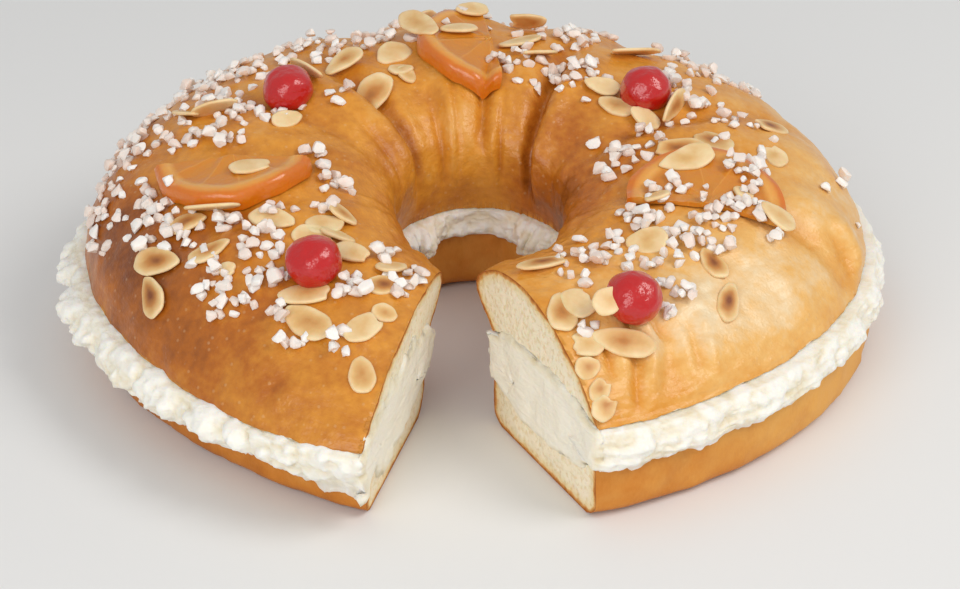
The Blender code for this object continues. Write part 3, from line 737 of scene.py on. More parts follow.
# Finer creases, where the dough puckered as it was drawn round: angle, shift, middle, reach, depth, width
CREASES = [
    (-56, 9, -0.50, 0.20, 0.0031, 1.4),
    (-60, 12, -0.74, 0.16, 0.0026, 1.3),
    (-51, -6, -0.46, 0.12, 0.0020, 1.2),
    (-46, 12, -0.66, 0.14, 0.0020, 1.3),
    (-64, 6, -0.60, 0.10, 0.0017, 1.1),
    (-4, 10, -0.78, 0.14, 0.0027, 1.4),
    (100, 3, 0.60, 0.28, 0.0012, 1.6),
    (80, -3, 0.66, 0.26, 0.0012, 1.6),
    (235, 8, -0.72, 0.14, 0.0007, 1.4),
    (143, 4, 0.55, 0.25, 0.0010, 1.8),
]


def crease_relief(angle, across):
    """Narrow grooves with a raised side."""
    relief = np.zeros(np.broadcast(angle, across).shape)
    for middle, shift, centre, reach, depth, width in CREASES:
        apart = (np.degrees(angle) - middle - shift * (across - centre) + 180) % 360 - 180
        along = np.exp(-(((across - centre) / reach) ** 4))
        groove = np.exp(-((apart / width) ** 2))
        swelling = np.exp(-(((apart - 2 * width) / (1.6 * width)) ** 2))
        relief += along * depth * (0.5 * swelling - groove)
    return relief


def dome_section(angle, across):
    """The upper crust. across runs from -1 at the outer lip over the top to 1 at the seam."""
    lip, brow = lip_radius(angle), brow_radius(angle)
    turn = across * np.pi / 2
    front = 0.5 - 0.5 * np.sin(angle)
    power = np.where(across < 0, 0.78 + 0.10 * np.cos(angle) + 0.36 * front**2, 0.66)
    rise = np.abs(np.cos(turn)) ** power
    lean_in = 0.08 + 0.36 * front**2
    reach = (lip - brow) / 2 * (-np.sin(turn) - lean_in * rise)
    foot = lip_height(angle)
    climb = (crest_height(angle) - foot) * rise
    length = np.hypot(reach, climb) + 1e-9
    crust = 0.0011 * ripple(to_space(lip + 0 * turn, angle, foot + climb), CRUST_WAVES)
    relief = fold_relief(angle, across) + crust * np.minimum(1, rise * 2)
    grow = 1 + relief / length
    tuck = BROW_TUCK * np.clip((across - 0.66) / 0.34, 0, 1) ** 1.6
    return (lip + brow) / 2 + reach * grow + tuck, foot + climb * grow


def dome(angle, share):
    return dome_section(angle, 2 * share - 1)


def upper_under(angle, share):
    across = 1 - 2 * share
    return between(seam_radius(angle), lip_radius(angle), across), under_height(angle, across)


def browning_light_and_shade(angle, across):
    """How brown the crust is drawn, from 0 pale gold to 1 deep brown. Besides an even bake, it holds painted
    shade, browner on the left outer side and on the hole's side, most on its right wall, and painted light,
    paler on the right front, the right outer side and the hole's back wall.
    """
    brown = 0.44 + 0.0 * angle * across
    brown = brown + 0.16 * near(angle, 205, 45) * np.clip(-across * 1.6, 0, 1)
    brown = brown + 0.12 * near(angle, 192, 18) * np.exp(-(((across + 0.72) / 0.22) ** 2))
    brown = brown - 0.25 * near(angle, -38, 36) * np.exp(-(((across + 0.50) / 0.42) ** 2))
    brown = brown - 0.13 * near(angle, 14, 42) * np.clip(-across * 1.5, 0, 1)
    brown = brown - 0.05 * near(angle, 90, 36) * np.exp(-(((across - 0.60) / 0.40) ** 2))
    brown = brown + (0.05 + 0.28 * near(angle, 18, 48) + 0.08 * near(angle, 200, 50)) * np.clip(across, 0, 1)
    return brown


# Egg-washed crust: a brioche skin under a thin baked film of egg. It gives a glossy mottled gold with fine
# wrinkles, pinholes and pale blisters. Its browning holds painted shade and painted light besides the bake,
# and its folds and creases are browned as painted shade.
egg_crust, tree, shader, place = new_material(
    "egg_washed_crust",
    {"IOR": 1.45, "Roughness": 0.42, "Specular IOR Level": 0.4, "Coat Weight": 0.35, "Coat Roughness": 0.22},
)
# This attribute holds painted shade and painted light along with the crust's own browning.
bake_light_and_shade = node(tree, "Attribute", {"attribute_name": "bake_light_and_shade"}).outputs["Fac"]
# Painted shade: the folds and creases are drawn browner.
crease_shade = node(tree, "Attribute", {"attribute_name": "crease_shade"}).outputs["Fac"]
patches = node(tree, "TexNoise", {}, {"Vector": place, "Scale": 1 / 0.016, "Detail": 5.0}).outputs["Fac"]
mottle = node(tree, "TexNoise", {}, {"Vector": place, "Scale": 1 / 0.0028, "Detail": 3.0}).outputs["Fac"]
brown = node(tree, "Math", {"operation": "MULTIPLY_ADD"}, {0: patches, 1: 0.34, 2: bake_light_and_shade}).outputs[0]
brown = node(tree, "Math", {"operation": "MULTIPLY_ADD"}, {0: mottle, 1: 0.16, 2: brown}).outputs[0]
brown = node(tree, "Math", {"operation": "MULTIPLY_ADD"}, {0: crease_shade, 1: 0.11, 2: brown}).outputs[0]
crust_color = node(
    tree,
    "ValToRGB",
    {},
    {"Fac": brown},
    [
        (0.33, linear("#EFDBB6")),
        (1.0, linear("#80400C")),
        (0.52, linear("#EBB566")),
        (0.68, linear("#DE9430")),
        (0.85, linear("#B46414")),
    ],
)
blister = node(tree, "TexVoronoi", {}, {"Vector": place, "Scale": 1 / 0.0036}).outputs["Distance"]
speck = node(
    tree, "MapRange", {}, {"Value": blister, "From Min": 0.10, "From Max": 0.20, "To Min": 1.0, "To Max": 0.0}
).outputs[0]
faint = node(tree, "Math", {"operation": "MULTIPLY"}, {0: speck, 1: 0.14}).outputs[0]
pale = node(
    tree,
    "Mix",
    {"data_type": "RGBA"},
    {"Factor": faint, 6: crust_color.outputs["Color"], 7: linear("#F2D7A6")},
)
tree.links.new(pale.outputs[2], shader.inputs["Base Color"])
sheet = unroll(tree, 2.6)
wrinkles = node(tree, "TexNoise", {}, {"Vector": sheet, "Scale": 1 / 0.0030, "Detail": 4.0}).outputs["Fac"]
pinholes = node(tree, "TexNoise", {}, {"Vector": place, "Scale": 1 / 0.0011, "Detail": 3.0}).outputs["Fac"]
relief = node(tree, "Math", {"operation": "MULTIPLY_ADD"}, {0: wrinkles, 1: 1.6, 2: pinholes}).outputs[0]
relief = node(tree, "Math", {"operation": "MULTIPLY_ADD"}, {0: speck, 1: 0.35, 2: relief}).outputs[0]
bump = node(tree, "Bump", {}, {"Height": relief, "Distance": 0.0003, "Strength": 0.7})
tree.links.new(bump.outputs[0], shader.inputs["Normal"])
tree.links.new(bump.outputs[0], shader.inputs["Coat Normal"])

even = np.linspace(0, 1, 133)
dome_share = 0.6 * even + 0.4 * (0.5 - 0.5 * np.cos(np.pi * even))
upper_skins = [
    sweep(dome, dome_share, steps=460),
    sweep(upper_under, 1 - dome_share[::-6], steps=460, material=1),
]
upper_loop = [(dome, dome_share), (upper_under, 1 - dome_share[::-2])]
for cut in (RIGHT_CUT, LEFT_CUT):
    face = cut_face(upper_loop, cut, rings=20, spine_height=0.0480)
    face["rind"] = crust_distance(face, upper_loop[:1])
    upper_skins.append(face)
for skin in upper_skins:
    angle = skin["angle"]
    across = 2 * skin["share"] - 1 if skin["material"] == 0 else 0 * angle
    skin["along"] = angle * DOME_RADIUS
    skin["over"] = across * DOME_REACH
    # The crust's browning, with painted shade and painted light.
    skin["bake_light_and_shade"] = browning_light_and_shade(angle, across)
    pucker = crease_relief(angle, across)
    # Painted shade: how deep a point lies in a fold or crease.
    skin["crease_shade"] = np.clip(-fold_relief(angle, across) / 0.003 - pucker / 0.0015, 0, 1)
    skin["pucker"] = pucker * (skin["material"] == 0)
    skin.setdefault("rind", np.full(angle.shape, DEEP_CRUMB if skin["material"] else 0.0))
upper_notes = ["bake_light_and_shade", "rind", "along", "over", "crease_shade", "pucker"]
upper_mesh = joined_mesh("bread_top", upper_skins, core_height=0.050, notes=upper_notes)
places, _ = read_points(upper_mesh)
angle = np.arctan2(places[:, 1], places[:, 0])
stretched = np.stack([read_note(upper_mesh, "along") / 2.5, read_note(upper_mesh, "over"), 0 * angle], axis=1)
creased = cloud(stretched, 0.0050, octaves=3, shift=3.0)
fine_lines = 0.0004 * (0.4 + near(angle, -45, 40) + 0.5 * near(angle, 60, 40)) * creased
dents = 0.0006 * cloud(places, 0.012) + 0.0002 * cloud(places, 0.0035, shift=4.0)
swell(upper_mesh, dents + fine_lines + read_note(upper_mesh, "pucker"))
upper_mesh.shade_smooth()
upper_mesh.set_sharp_from_angle(angle=math.radians(60))
add_piece("upper_bread", upper_mesh, [egg_crust, crumb], "bread_top")


# Candied orange: three halves of round slices, simmered in syrup and laid on the dough before it was
# baked, so they have settled into it. Rind, pith and flesh have all gone glassy.

FRUIT_GAP = 0.0005  # kept between the fruit and the crust
# Two slices stand proud of the crust and the third has sunk into it
ORANGE_SLICES = [
    {"spot": (177, -0.10), "radius": 0.0280, "cut": -0.0045, "turn": -104, "thickness": 0.0064},
    {"spot": (88, 0.07), "radius": 0.0270, "cut": 0.001, "turn": -80, "thickness": 0.0060},
    {"spot": (-8, -0.10), "radius": 0.0285, "cut": 0.004, "turn": -71, "thickness": 0.0030},
]


def surface_tree(mesh):
    corners = [vertex.co for vertex in mesh.vertices]
    return BVHTree.FromPolygons(corners, [face.vertices for face in mesh.polygons])


def spot_on(tree, degrees, across):
    """A point of the crust and a frame there: X along the ring, Y towards the hole, Z out of the crust."""
    angle = np.array([math.radians(degrees)])
    step = 0.02
    points = []
    for turn, side in ((0, 0), (step, 0), (-step, 0), (0, 3 * step), (0, -3 * step)):
        radius, height = dome_section(angle + turn, np.array([across + side]))
        points.append(Vector(to_space(radius, angle + turn, height)[0]))
    along = (points[1] - points[2]).normalized()
    inward = (points[3] - points[4]).normalized()
    out = along.cross(inward).normalized()
    if out.z < 0:
        out = -out
    inward = out.cross(along)
    hit = tree.ray_cast(points[0] + out * 0.02, -out)[0] or points[0]
    grid = Matrix((along, inward, out)).transposed().to_4x4()
    grid.translation = hit
    return grid


def drop_onto(tree, grid, x, y, margin=0.0015):
    """Height along a frame's Z at which something comes to rest on the surface round a spot."""
    back = grid.inverted()
    heights = []
    for side_x, side_y in ((0, 0), (margin, 0), (-margin, 0), (0, margin), (0, -margin)):
        hit = tree.ray_cast(grid @ Vector((x + side_x, y + side_y, 0.03)), -grid.col[2].to_3d())[0]
        if hit:
            heights.append((back @ hit).z)
    return max(heights, default=0.0)


def orange_mesh(name, bread, grid, radius, cut, thickness):
    """About half a round slice, its straight side at y = -cut, bent over the crust under it."""
    turns, rings = 72, 20
    opening = math.asin(cut / radius)
    rim = np.linspace(-opening, math.pi + opening, turns + 1)
    share = np.linspace(0, 1, rings + 1)[:, None]
    uneven = 1 + 0.012 * np.sin(5 * rim) + 0.008 * np.sin(11 * rim + 1)
    x = radius * np.cos(rim) * share * uneven
    y = -cut + (radius * np.sin(rim) * uneven + cut) * share
    under = np.array([drop_onto(bread, grid, *spot) for spot in zip(x.ravel(), y.ravel())]).reshape(x.shape)
    under += FRUIT_GAP
    edge = np.clip((1 - share) / 0.05, 0, 1)
    shrunk = 0.0010 * np.sin(np.pi * np.clip(share / 0.84, 0, 1)) ** 0.5
    thick = thickness * (0.80 + 0.20 * np.sqrt(edge)) - shrunk
    distance = np.hypot(x, y)
    segment = np.abs(np.sin(5.0 * np.arctan2(y, x) + 0.4))
    in_flesh = np.clip((0.80 * radius - distance) / (0.05 * radius), 0, 1)
    thick = thick - 0.0006 * in_flesh * segment**0.5
    sides = [np.stack([x, y, height], axis=-1).reshape(-1, 3) for height in (under + thick, under)]
    points = np.concatenate(sides)
    index = np.arange((rings + 1) * (turns + 1)).reshape(rings + 1, turns + 1)
    shift = index.size
    faces = []
    for row in range(rings):
        for column in range(turns):
            near_side = [index[row, column], index[row + 1, column]]
            quad = near_side + [index[row + 1, column + 1], index[row, column + 1]]
            faces.append(quad)
            faces.append([corner + shift for corner in reversed(quad)])
    border = list(index[-1]) + list(index[::-1, -1][1:]) + list(index[:, 0][1:-1])
    for here, ahead in zip(border, border[1:] + border[:1]):
        faces.append([here, here + shift, ahead + shift, ahead])
    mesh = bpy.data.meshes.new(name)
    mesh.from_pydata(points.tolist(), [], [[int(corner) for corner in face] for face in faces])
    write_note(mesh, "radial", np.tile(distance.ravel() / radius, 2))
    write_note(mesh, "round", np.tile(np.arctan2(y, x).ravel(), 2))
    weld(mesh, 1e-6, turn_out=True)
    mesh.shade_smooth()
    mesh.set_sharp_from_angle(angle=math.radians(50))
    return mesh


# Candied orange: syrup-soaked fruit. It gives a vivid rind, a paler band of pith and clear amber flesh
# with the cells showing, all under a sticky gloss.
candied_orange, tree, shader, place = new_material(
    "candied_orange",
    {
        "IOR": 1.45,
        "Roughness": 0.35,
        "Coat Weight": 0.6,
        "Coat Roughness": 0.12,
        "Subsurface Weight": 0.3,
        "Subsurface Scale": 0.002,
        "Subsurface Radius": (1.0, 0.45, 0.12),
    },
)
radial = node(tree, "Attribute", {"attribute_name": "radial"}).outputs["Fac"]
turning = node(tree, "Attribute", {"attribute_name": "round"}).outputs["Fac"]
fruit_color = node(
    tree,
    "ValToRGB",
    {},
    {"Fac": radial},
    [
        (0.0, linear("#D68A26")),
        (1.0, linear("#D8740A")),
        (0.74, linear("#D28222")),
        (0.82, linear("#E6A64E")),
        (0.90, linear("#E2963A")),
        (0.95, linear("#D67412")),
    ],
)
spokes = node(tree, "Math", {"operation": "MULTIPLY_ADD"}, {0: turning, 1: 5.0, 2: 0.4}).outputs[0]
spokes = node(tree, "Math", {"operation": "SINE"}, {0: spokes}).outputs[0]
spokes = node(tree, "Math", {"operation": "ABSOLUTE"}, {0: spokes}).outputs[0]
wall = node(
    tree, "MapRange", {}, {"Value": spokes, "From Max": 0.16, "To Min": 0.40, "To Max": 0.0}
).outputs[0]
fleshy = node(
    tree, "MapRange", {}, {"Value": radial, "From Min": 0.72, "From Max": 0.78, "To Min": 1.0, "To Max": 0.0}
).outputs[0]
wall = node(tree, "Math", {"operation": "MULTIPLY"}, {0: wall, 1: fleshy}).outputs[0]
walled = node(
    tree,
    "Mix",
    {"data_type": "RGBA"},
    {"Factor": wall, 6: fruit_color.outputs["Color"], 7: linear("#E6A852")},
)
tree.links.new(walled.outputs[2], shader.inputs["Base Color"])
cells = node(tree, "TexVoronoi", {}, {"Vector": place, "Scale": 1 / 0.0021}).outputs["Distance"]
bump = node(tree, "Bump", {}, {"Height": cells, "Distance": 0.0003, "Strength": 0.6})
tree.links.new(bump.outputs[0], shader.inputs["Normal"])

bread_tree = surface_tree(upper_mesh)
orange_trees = []
for number, plan in enumerate(ORANGE_SLICES):
    grid = spot_on(bread_tree, *plan["spot"]) @ Matrix.Rotation(math.radians(plan["turn"]), 4, "Z")
    name = f"orange_slice_{number + 1}"
    mesh = orange_mesh(name, bread_tree, grid, plan["radius"], plan["cut"], plan["thickness"])
    mesh.transform(grid)
    orange_trees.append(surface_tree(mesh))
    add_piece(f"candied_orange_{number + 1}", mesh, [candied_orange], name)


# Candied cherries: four whole red cherries, stoned and steeped in syrup until the skin wrinkles, pressed
# into the dough.

CHERRY_WIDTH = 0.0192
# A cherry is (angle in degrees, across, how deep it sits in the crust)
CHERRIES = [(147, 0.04, 0.0062), (40, 0.08, 0.0045), (224, -0.17, 0.0045), (-54, -0.37, 0.0030)]


def cherry_mesh(name, bread, grid, sink, seed):
    """A ball with a wrinkled skin and a dimple at the stalk's end, flattened where it meets the crust."""
    waves = make_waves(seed, count=6, shortest=0.007, longest=0.014)
    ball = bmesh.new()
    bmesh.ops.create_uvsphere(ball, u_segments=56, v_segments=36, radius=CHERRY_WIDTH / 2)
    for vertex in ball.verts:
        place = np.array(vertex.co)
        wrinkle = noise.fractal(place / 0.006 + seed, 0.8, 2.0, 2)
        dimple = math.exp(-(((vertex.co.x - 0.001) ** 2 + (vertex.co.y + 0.003) ** 2) / 0.0022**2))
        stalk_end = 0.05 * dimple * (vertex.co.z > 0)
        swollen = 1 + 0.040 * float(ripple(place, waves)) + 0.030 * wrinkle - stalk_end
        spot = Vector((vertex.co.x * swollen, vertex.co.y * swollen, vertex.co.z * swollen * 0.9))
        spot.z += CHERRY_WIDTH / 2 - sink
        spot.z = max(spot.z, drop_onto(bread, grid, spot.x, spot.y, margin=0.0005) + FRUIT_GAP)
        vertex.co = spot
    mesh = bpy.data.meshes.new(name)
    ball.to_mesh(mesh)
    ball.free()
    mesh.transform(grid)
    mesh.shade_smooth()
    return mesh


# Candied cherry: dyed fruit full of syrup. It gives a deep clear red that glows at its edges, with a
# wet highlight broken by the wrinkles of the skin.
candied_cherry, tree, shader, place = new_material(
    "candied_cherry",
    {
        "IOR": 1.45,
        "Base Color": linear("#C00A0A"),
        "Roughness": 0.32,
        "Subsurface Weight": 0.22,
        "Subsurface Scale": 0.002,
        "Subsurface Radius": (1.0, 0.12, 0.10),
        "Coat Weight": 0.8,
        "Coat Roughness": 0.06,
    },
)
puckered = node(tree, "TexNoise", {}, {"Vector": place, "Scale": 1 / 0.0030, "Detail": 3.0}).outputs["Fac"]
bump = node(tree, "Bump", {}, {"Height": puckered, "Distance": 0.0008, "Strength": 0.7})
tree.links.new(bump.outputs[0], shader.inputs["Normal"])
tree.links.new(bump.outputs[0], shader.inputs["Coat Normal"])

cherry_trees = []
for number, (degrees, across, sink) in enumerate(CHERRIES):
    grid = spot_on(bread_tree, degrees, across)
    name = f"cherry_{number + 1}"
    mesh = cherry_mesh(name, bread_tree, grid, sink, 21 + number)
    cherry_trees.append(surface_tree(mesh))
    add_piece(f"candied_{name}", mesh, [candied_cherry], name)


# Flaked almonds: thin slices of blanched almond, scattered on the egg wash before baking, so that many
# have toasted in the middle or along an edge. They lie flat, lean on their neighbours or stand in the crust.

FLAKE_THICKNESS = 0.0013
# A flake is (angle, across, turn from the ring's direction, length and width in mm, toasting, tilt), with
# its angles in degrees
FLAKES = [
    (126, 0.04, 10, 18, 10, 0.60, 6), (127, 0.30, 28, 22, 12, 0.80, 5), (138, 0.02, 76, 19, 9, 0.10, 60),
    (104, -0.02, 110, 24, 11, 0.40, 8), (113, 0.06, 30, 16, 12, 0.20, 8), (114, 0.20, 170, 10, 7, 0.30, 10),
    (113, 0.24, 90, 10, 7, 0.30, 10), (159, -0.20, 110, 18, 8, 0.30, 55), (160, -0.32, 55, 14, 8, 0.60, 30),
    (158, 0.10, 130, 12, 8, 0.20, 20), (185, -0.05, 85, 17, 9, 0.15, 4), (194, -0.28, 60, 20, 9, 0.30, 62),
    (204, -0.12, 35, 17, 9, 0.15, 10), (194, -0.40, 70, 14, 9, 0.70, 15), (211, 0.06, 75, 14, 11, 0.15, 8),
    (208, 0.18, 27, 12, 8, 0.60, 20), (214, -0.04, 50, 14, 10, 0.30, 8), (217, 0.06, 30, 13, 7, 0.20, 25),
    (198, -0.62, 30, 21, 11, 0.90, 3), (203, -0.74, 160, 18, 10, 1.00, 4), (205, -0.42, 70, 16, 8, 0.60, 10),
    (211, -0.42, 45, 7, 6, 0.20, 5), (226, 0.04, 17, 16, 8, 0.15, 15), (241, -0.04, 50, 13, 8, 0.90, 8),
    (229, -0.29, 40, 22, 10, 0.45, 8), (233, -0.41, 174, 20, 12, 0.55, 3), (244, -0.31, 70, 17, 10, 0.30, 5),
    (246, -0.20, 12, 9, 7, 0.50, 15), (248, -0.54, 115, 14, 9, 0.50, 3), (238, 0.10, 60, 12, 8, 0.20, 20),
    (96, 0.04, 7, 15, 9, 0.15, 10), (102, -0.18, 24, 14, 7, 0.20, 75), (92, -0.18, 24, 14, 9, 0.20, 10),
    (81, -0.24, 2, 19, 8, 0.80, 50), (80, -0.02, 36, 18, 10, 0.10, 10), (74, 0.10, 42, 15, 7, 0.80, 45),
    (56, -0.16, 50, 24, 10, 0.50, 30), (51, 0.18, 26, 14, 8, 0.20, 12), (43, 0.22, 20, 15, 8, 0.40, 8),
    (34, 0.16, 16, 15, 9, 0.10, 10), (33, 0.02, 120, 20, 8, 0.70, 60), (16, -0.06, 46, 19, 12, 0.80, 5),
    (14, 0.08, 87, 21, 9, 0.80, 14), (7, 0.04, 120, 21, 11, 0.25, 10), (23, -0.36, 106, 20, 9, 0.90, 8),
    (12, -0.32, 35, 12, 9, 0.30, 10), (-11, 0.10, 160, 10, 8, 0.20, 15), (-31, -0.04, 143, 15, 12, 0.30, 8),
    (-9, -0.40, 86, 15, 10, 0.25, 6), (-4, -0.22, 70, 8, 7, 0.10, 12), (-28, -0.34, 77, 14, 8, 0.95, 4),
    (-34, -0.54, 38, 17, 8, 1.00, 3), (-65, 0.12, 5, 22, 9, 0.80, 6), (-70, -0.30, 75, 17, 10, 0.60, 4),
    (-64, -0.27, 5, 14, 13, 0.15, 5), (-60, -0.37, 14, 15, 9, 0.20, 14), (-60, -0.54, 153, 22, 11, 0.50, 4),
    (-68, -0.50, 166, 13, 10, 0.25, 8), (-69, -0.62, 12, 9, 8, 0.60, 6), (-68, -0.74, 45, 10, 7, 0.50, 6),
    (-68, -0.83, 46, 12, 8, 0.50, 5),
]


def flake_shape(draw, length, width):
    """A leaf of almond: pointed at one end, blunt at the other, a little warped, its edge rounded off. With
    its points comes how far out each of them is, from 0 in the middle to 1 at the rim."""
    turns = 30
    around = np.linspace(0, 2 * np.pi, turns, endpoint=False)
    lopsided = draw.uniform(-0.05, 0.05)
    outline_x = np.cos(around)
    outline_y = width / length * np.sin(around) * (1 - 0.26 * np.cos(around))
    outline_y += lopsided * np.cos(around) ** 2
    chip = 1 + 0.03 * np.sin(3 * around + draw.uniform(0, 6))
    chip += 0.02 * np.sin(7 * around + draw.uniform(0, 6))
    if draw.uniform() < 0.25:
        snapped = draw.uniform(0.45, 0.75)
        outline_x = np.minimum(outline_x, snapped + 0.06 * np.sin(9 * outline_y))
    rings = np.array([0.0, 0.35, 0.65, 0.86, 0.95, 1.0, 0.97, 0.85, 0.5])
    lift = np.array([0.55, 0.55, 0.52, 0.5, 0.42, 0.0, -0.38, -0.5, -0.5])
    x = length / 2 * rings[:, None] * outline_x * chip
    y = length / 2 * rings[:, None] * outline_y * chip
    bend, twist = draw.uniform(-0.9, 1.6), draw.uniform(-0.6, 0.6)
    z = FLAKE_THICKNESS * lift[:, None] + bend * 4 * x**2 + twist * 10 * x * y
    return np.stack([x, y, z], axis=-1), np.broadcast_to(rings[:, None], x.shape)


def almond_mesh(plans, bread, fruit):
    """All the flakes as one mesh, each resting on the crust or on the fruit under it."""
    draw = np.random.default_rng(3)
    places, faces, toast, rim = [], [], [], []
    start = 0
    for degrees, across, turn, length, width, brown, tilt in plans:
        points, share = flake_shape(draw, length / 1000, width / 1000)
        grid = spot_on(bread, degrees, across)
        way = Matrix.Rotation(math.radians(turn), 3, "Z") @ Vector((length / 2000, 0, 0))
        footing = [drop_onto(bread, grid, way.x * out, way.y * out) for out in (-0.8, -0.4, 0, 0.4, 0.8)]
        lifted = 0.0004 + min(max(footing), 0.003)
        up = grid.col[2].to_3d()
        for tree in fruit:
            hit = tree.ray_cast(grid.translation + up * 0.02, -up, 0.04)[0]
            if hit:
                lifted = max(lifted, (grid.inverted() @ hit).z + 0.0007)
        lifted += width / 2500 * math.sin(math.radians(max(0, tilt - 8)))
        pose = grid @ Matrix.Translation((0, 0, lifted)) @ Matrix.Rotation(math.radians(turn), 4, "Z")
        pose = pose @ Matrix.Rotation(math.radians(tilt * draw.choice([-1, 1])), 4, "X")
        pose = pose @ Matrix.Rotation(math.radians(draw.uniform(-6, 6)), 4, "Y")
        pose = np.array(pose)
        flat = points.reshape(-1, 3) @ pose[:3, :3].T + pose[:3, 3]
        rings, turns = share.shape
        index = start + np.arange(rings * turns).reshape(rings, turns)
        ahead = np.roll(index, -1, axis=1)
        quads = np.stack([index[:-1], index[1:], ahead[1:], ahead[:-1]], axis=-1).reshape(-1, 4)
        places.append(flat)
        faces.extend(quads.tolist())
        faces.append(index[-1][::-1].tolist())
        toast.append(np.full(share.size, brown))
        rim.append(share.ravel())
        start += rings * turns
    mesh = bpy.data.meshes.new("almonds")
    mesh.from_pydata(np.concatenate(places).tolist(), [], faces)
    write_note(mesh, "toast", np.concatenate(toast))
    write_note(mesh, "rim", np.concatenate(rim))
    weld(mesh, 1e-6, turn_out=True)
    mesh.shade_smooth()
    mesh.set_sharp_from_angle(angle=math.radians(65))
    return mesh


# Flaked almond: blanched nut, cut thin and toasted. It gives a waxy cream with fine grain, browning
# from the middle outwards and leaving a paler rim.
toasted_almond, tree, shader, place = new_material(
    "toasted_almond",
    {
        "IOR": 1.46,
        "Roughness": 0.5,
        "Subsurface Weight": 0.15,
        "Subsurface Scale": 0.001,
        "Coat Weight": 0.12,
        "Coat Roughness": 0.3,
    },
)
toast = node(tree, "Attribute", {"attribute_name": "toast"}).outputs["Fac"]
rim = node(tree, "Attribute", {"attribute_name": "rim"}).outputs["Fac"]
uneven = node(tree, "TexNoise", {}, {"Vector": place, "Scale": 1 / 0.0075, "Detail": 3.0}).outputs["Fac"]
centre = node(
    tree, "MapRange", {}, {"Value": rim, "From Min": 0.10, "From Max": 0.97, "To Min": 0.75, "To Max": 0.03}
).outputs[0]
brown = node(tree, "Math", {"operation": "MULTIPLY"}, {0: toast, 1: centre}).outputs[0]
brown = node(tree, "Math", {"operation": "MULTIPLY_ADD"}, {0: uneven, 1: 0.5, 2: brown}).outputs[0]
nut_color = node(
    tree,
    "ValToRGB",
    {},
    {"Fac": brown},
    [
        (0.22, linear("#F2D7A6")),
        (1.0, linear("#84441A")),
        (0.44, linear("#E0B474")),
        (0.68, linear("#C4823E")),
    ],
)
tree.links.new(nut_color.outputs["Color"], shader.inputs["Base Color"])
grain = node(tree, "TexNoise", {}, {"Vector": place, "Scale": 1 / 0.0010, "Detail": 3.0}).outputs["Fac"]
bump = node(tree, "Bump", {}, {"Height": grain, "Distance": 0.00012, "Strength": 0.6})
tree.links.new(bump.outputs[0], shader.inputs["Normal"])

almonds = almond_mesh(FLAKES, bread_tree, orange_trees + cherry_trees)
add_piece("flaked_almonds", almonds, [toasted_almond], None)


# Sugar nibs: lumps of pressed sugar that don't melt in the oven, strewn over the egg wash. They are
# rough little blocks, heaped where the baker's hand dropped them.

NIB_SIZE = 0.0044
FIRST_NIB, LAST_NIB = -69.5, 247.5  # degrees: no nib lies beyond the cuts
# A drift of sugar is (angle, across, reach in degrees, reach across, nibs)
DRIFTS = [
    (128, -0.33, 6, 0.14, 16), (140, -0.40, 6, 0.18, 20), (121, -0.08, 4, 0.09, 9), (127, -0.08, 3, 0.06, 5),
    (146, -0.58, 5, 0.16, 10), (154, -0.24, 5, 0.10, 9), (157, -0.08, 5, 0.08, 12), (162, -0.50, 7, 0.18, 34),
    (168, -0.22, 3, 0.08, 8), (169, -0.10, 2, 0.04, 5), (163, -0.70, 7, 0.13, 11), (187, -0.50, 5, 0.09, 24),
    (178, -0.72, 6, 0.11, 13), (183, -0.82, 3, 0.05, 4), (196, -0.48, 2, 0.05, 7), (193, -0.60, 1, 0.03, 3),
    (203, -0.24, 6, 0.07, 12), (200, -0.06, 3, 0.04, 4), (185, 0.30, 9, 0.07, 11), (170, 0.28, 3, 0.04, 2),
    (212, -0.26, 4, 0.07, 9), (212, -0.50, 4, 0.07, 10), (207, -0.44, 2, 0.03, 3), (217, -0.36, 3, 0.07, 9),
    (218, -0.52, 3, 0.06, 7), (226, -0.48, 2, 0.05, 5), (236, -0.16, 3, 0.06, 10), (246, 0.04, 4, 0.10, 13),
    (234, -0.50, 3, 0.04, 4), (240, -0.38, 1, 0.03, 3), (243, -0.48, 2, 0.03, 2), (153, 0.08, 3, 0.06, 7),
    (140, 0.20, 3, 0.04, 3), (111, -0.14, 4, 0.10, 7), (204, 0.12, 2, 0.04, 4), (231, 0.18, 3, 0.06, 5),
    (-10, -0.20, 7, 0.10, 32), (-24, -0.16, 4, 0.07, 16), (-18, 0.14, 4, 0.06, 6), (-48, 0.02, 12, 0.15, 26),
    (-37, -0.16, 5, 0.09, 11), (-41, -0.34, 3, 0.06, 7), (4, -0.20, 5, 0.06, 13), (-3, 0.08, 3, 0.07, 7),
    (21, 0.18, 5, 0.11, 11), (19, 0.34, 8, 0.07, 8), (32, -0.10, 6, 0.09, 9), (40, -0.16, 4, 0.08, 9),
    (23, -0.20, 6, 0.08, 8), (60, 0.12, 7, 0.09, 17), (80, 0.18, 5, 0.10, 14), (70, -0.14, 3, 0.09, 7),
    (50, -0.42, 4, 0.13, 13), (43, -0.52, 4, 0.13, 9), (-46, -0.44, 1, 0.03, 3), (-67, -0.42, 3, 0.02, 3),
    (10, -0.26, 2, 0.02, 3), (-14, -0.42, 1, 0.02, 3), (-22, -0.32, 1, 0.01, 2), (-15, 0.06, 4, 0.05, 5),
    (12, -0.70, 6, 0.10, 3), (71, 0.28, 2, 0.06, 3), (71, -0.28, 4, 0.13, 9), (95, -0.45, 22, 0.18, 40),
]


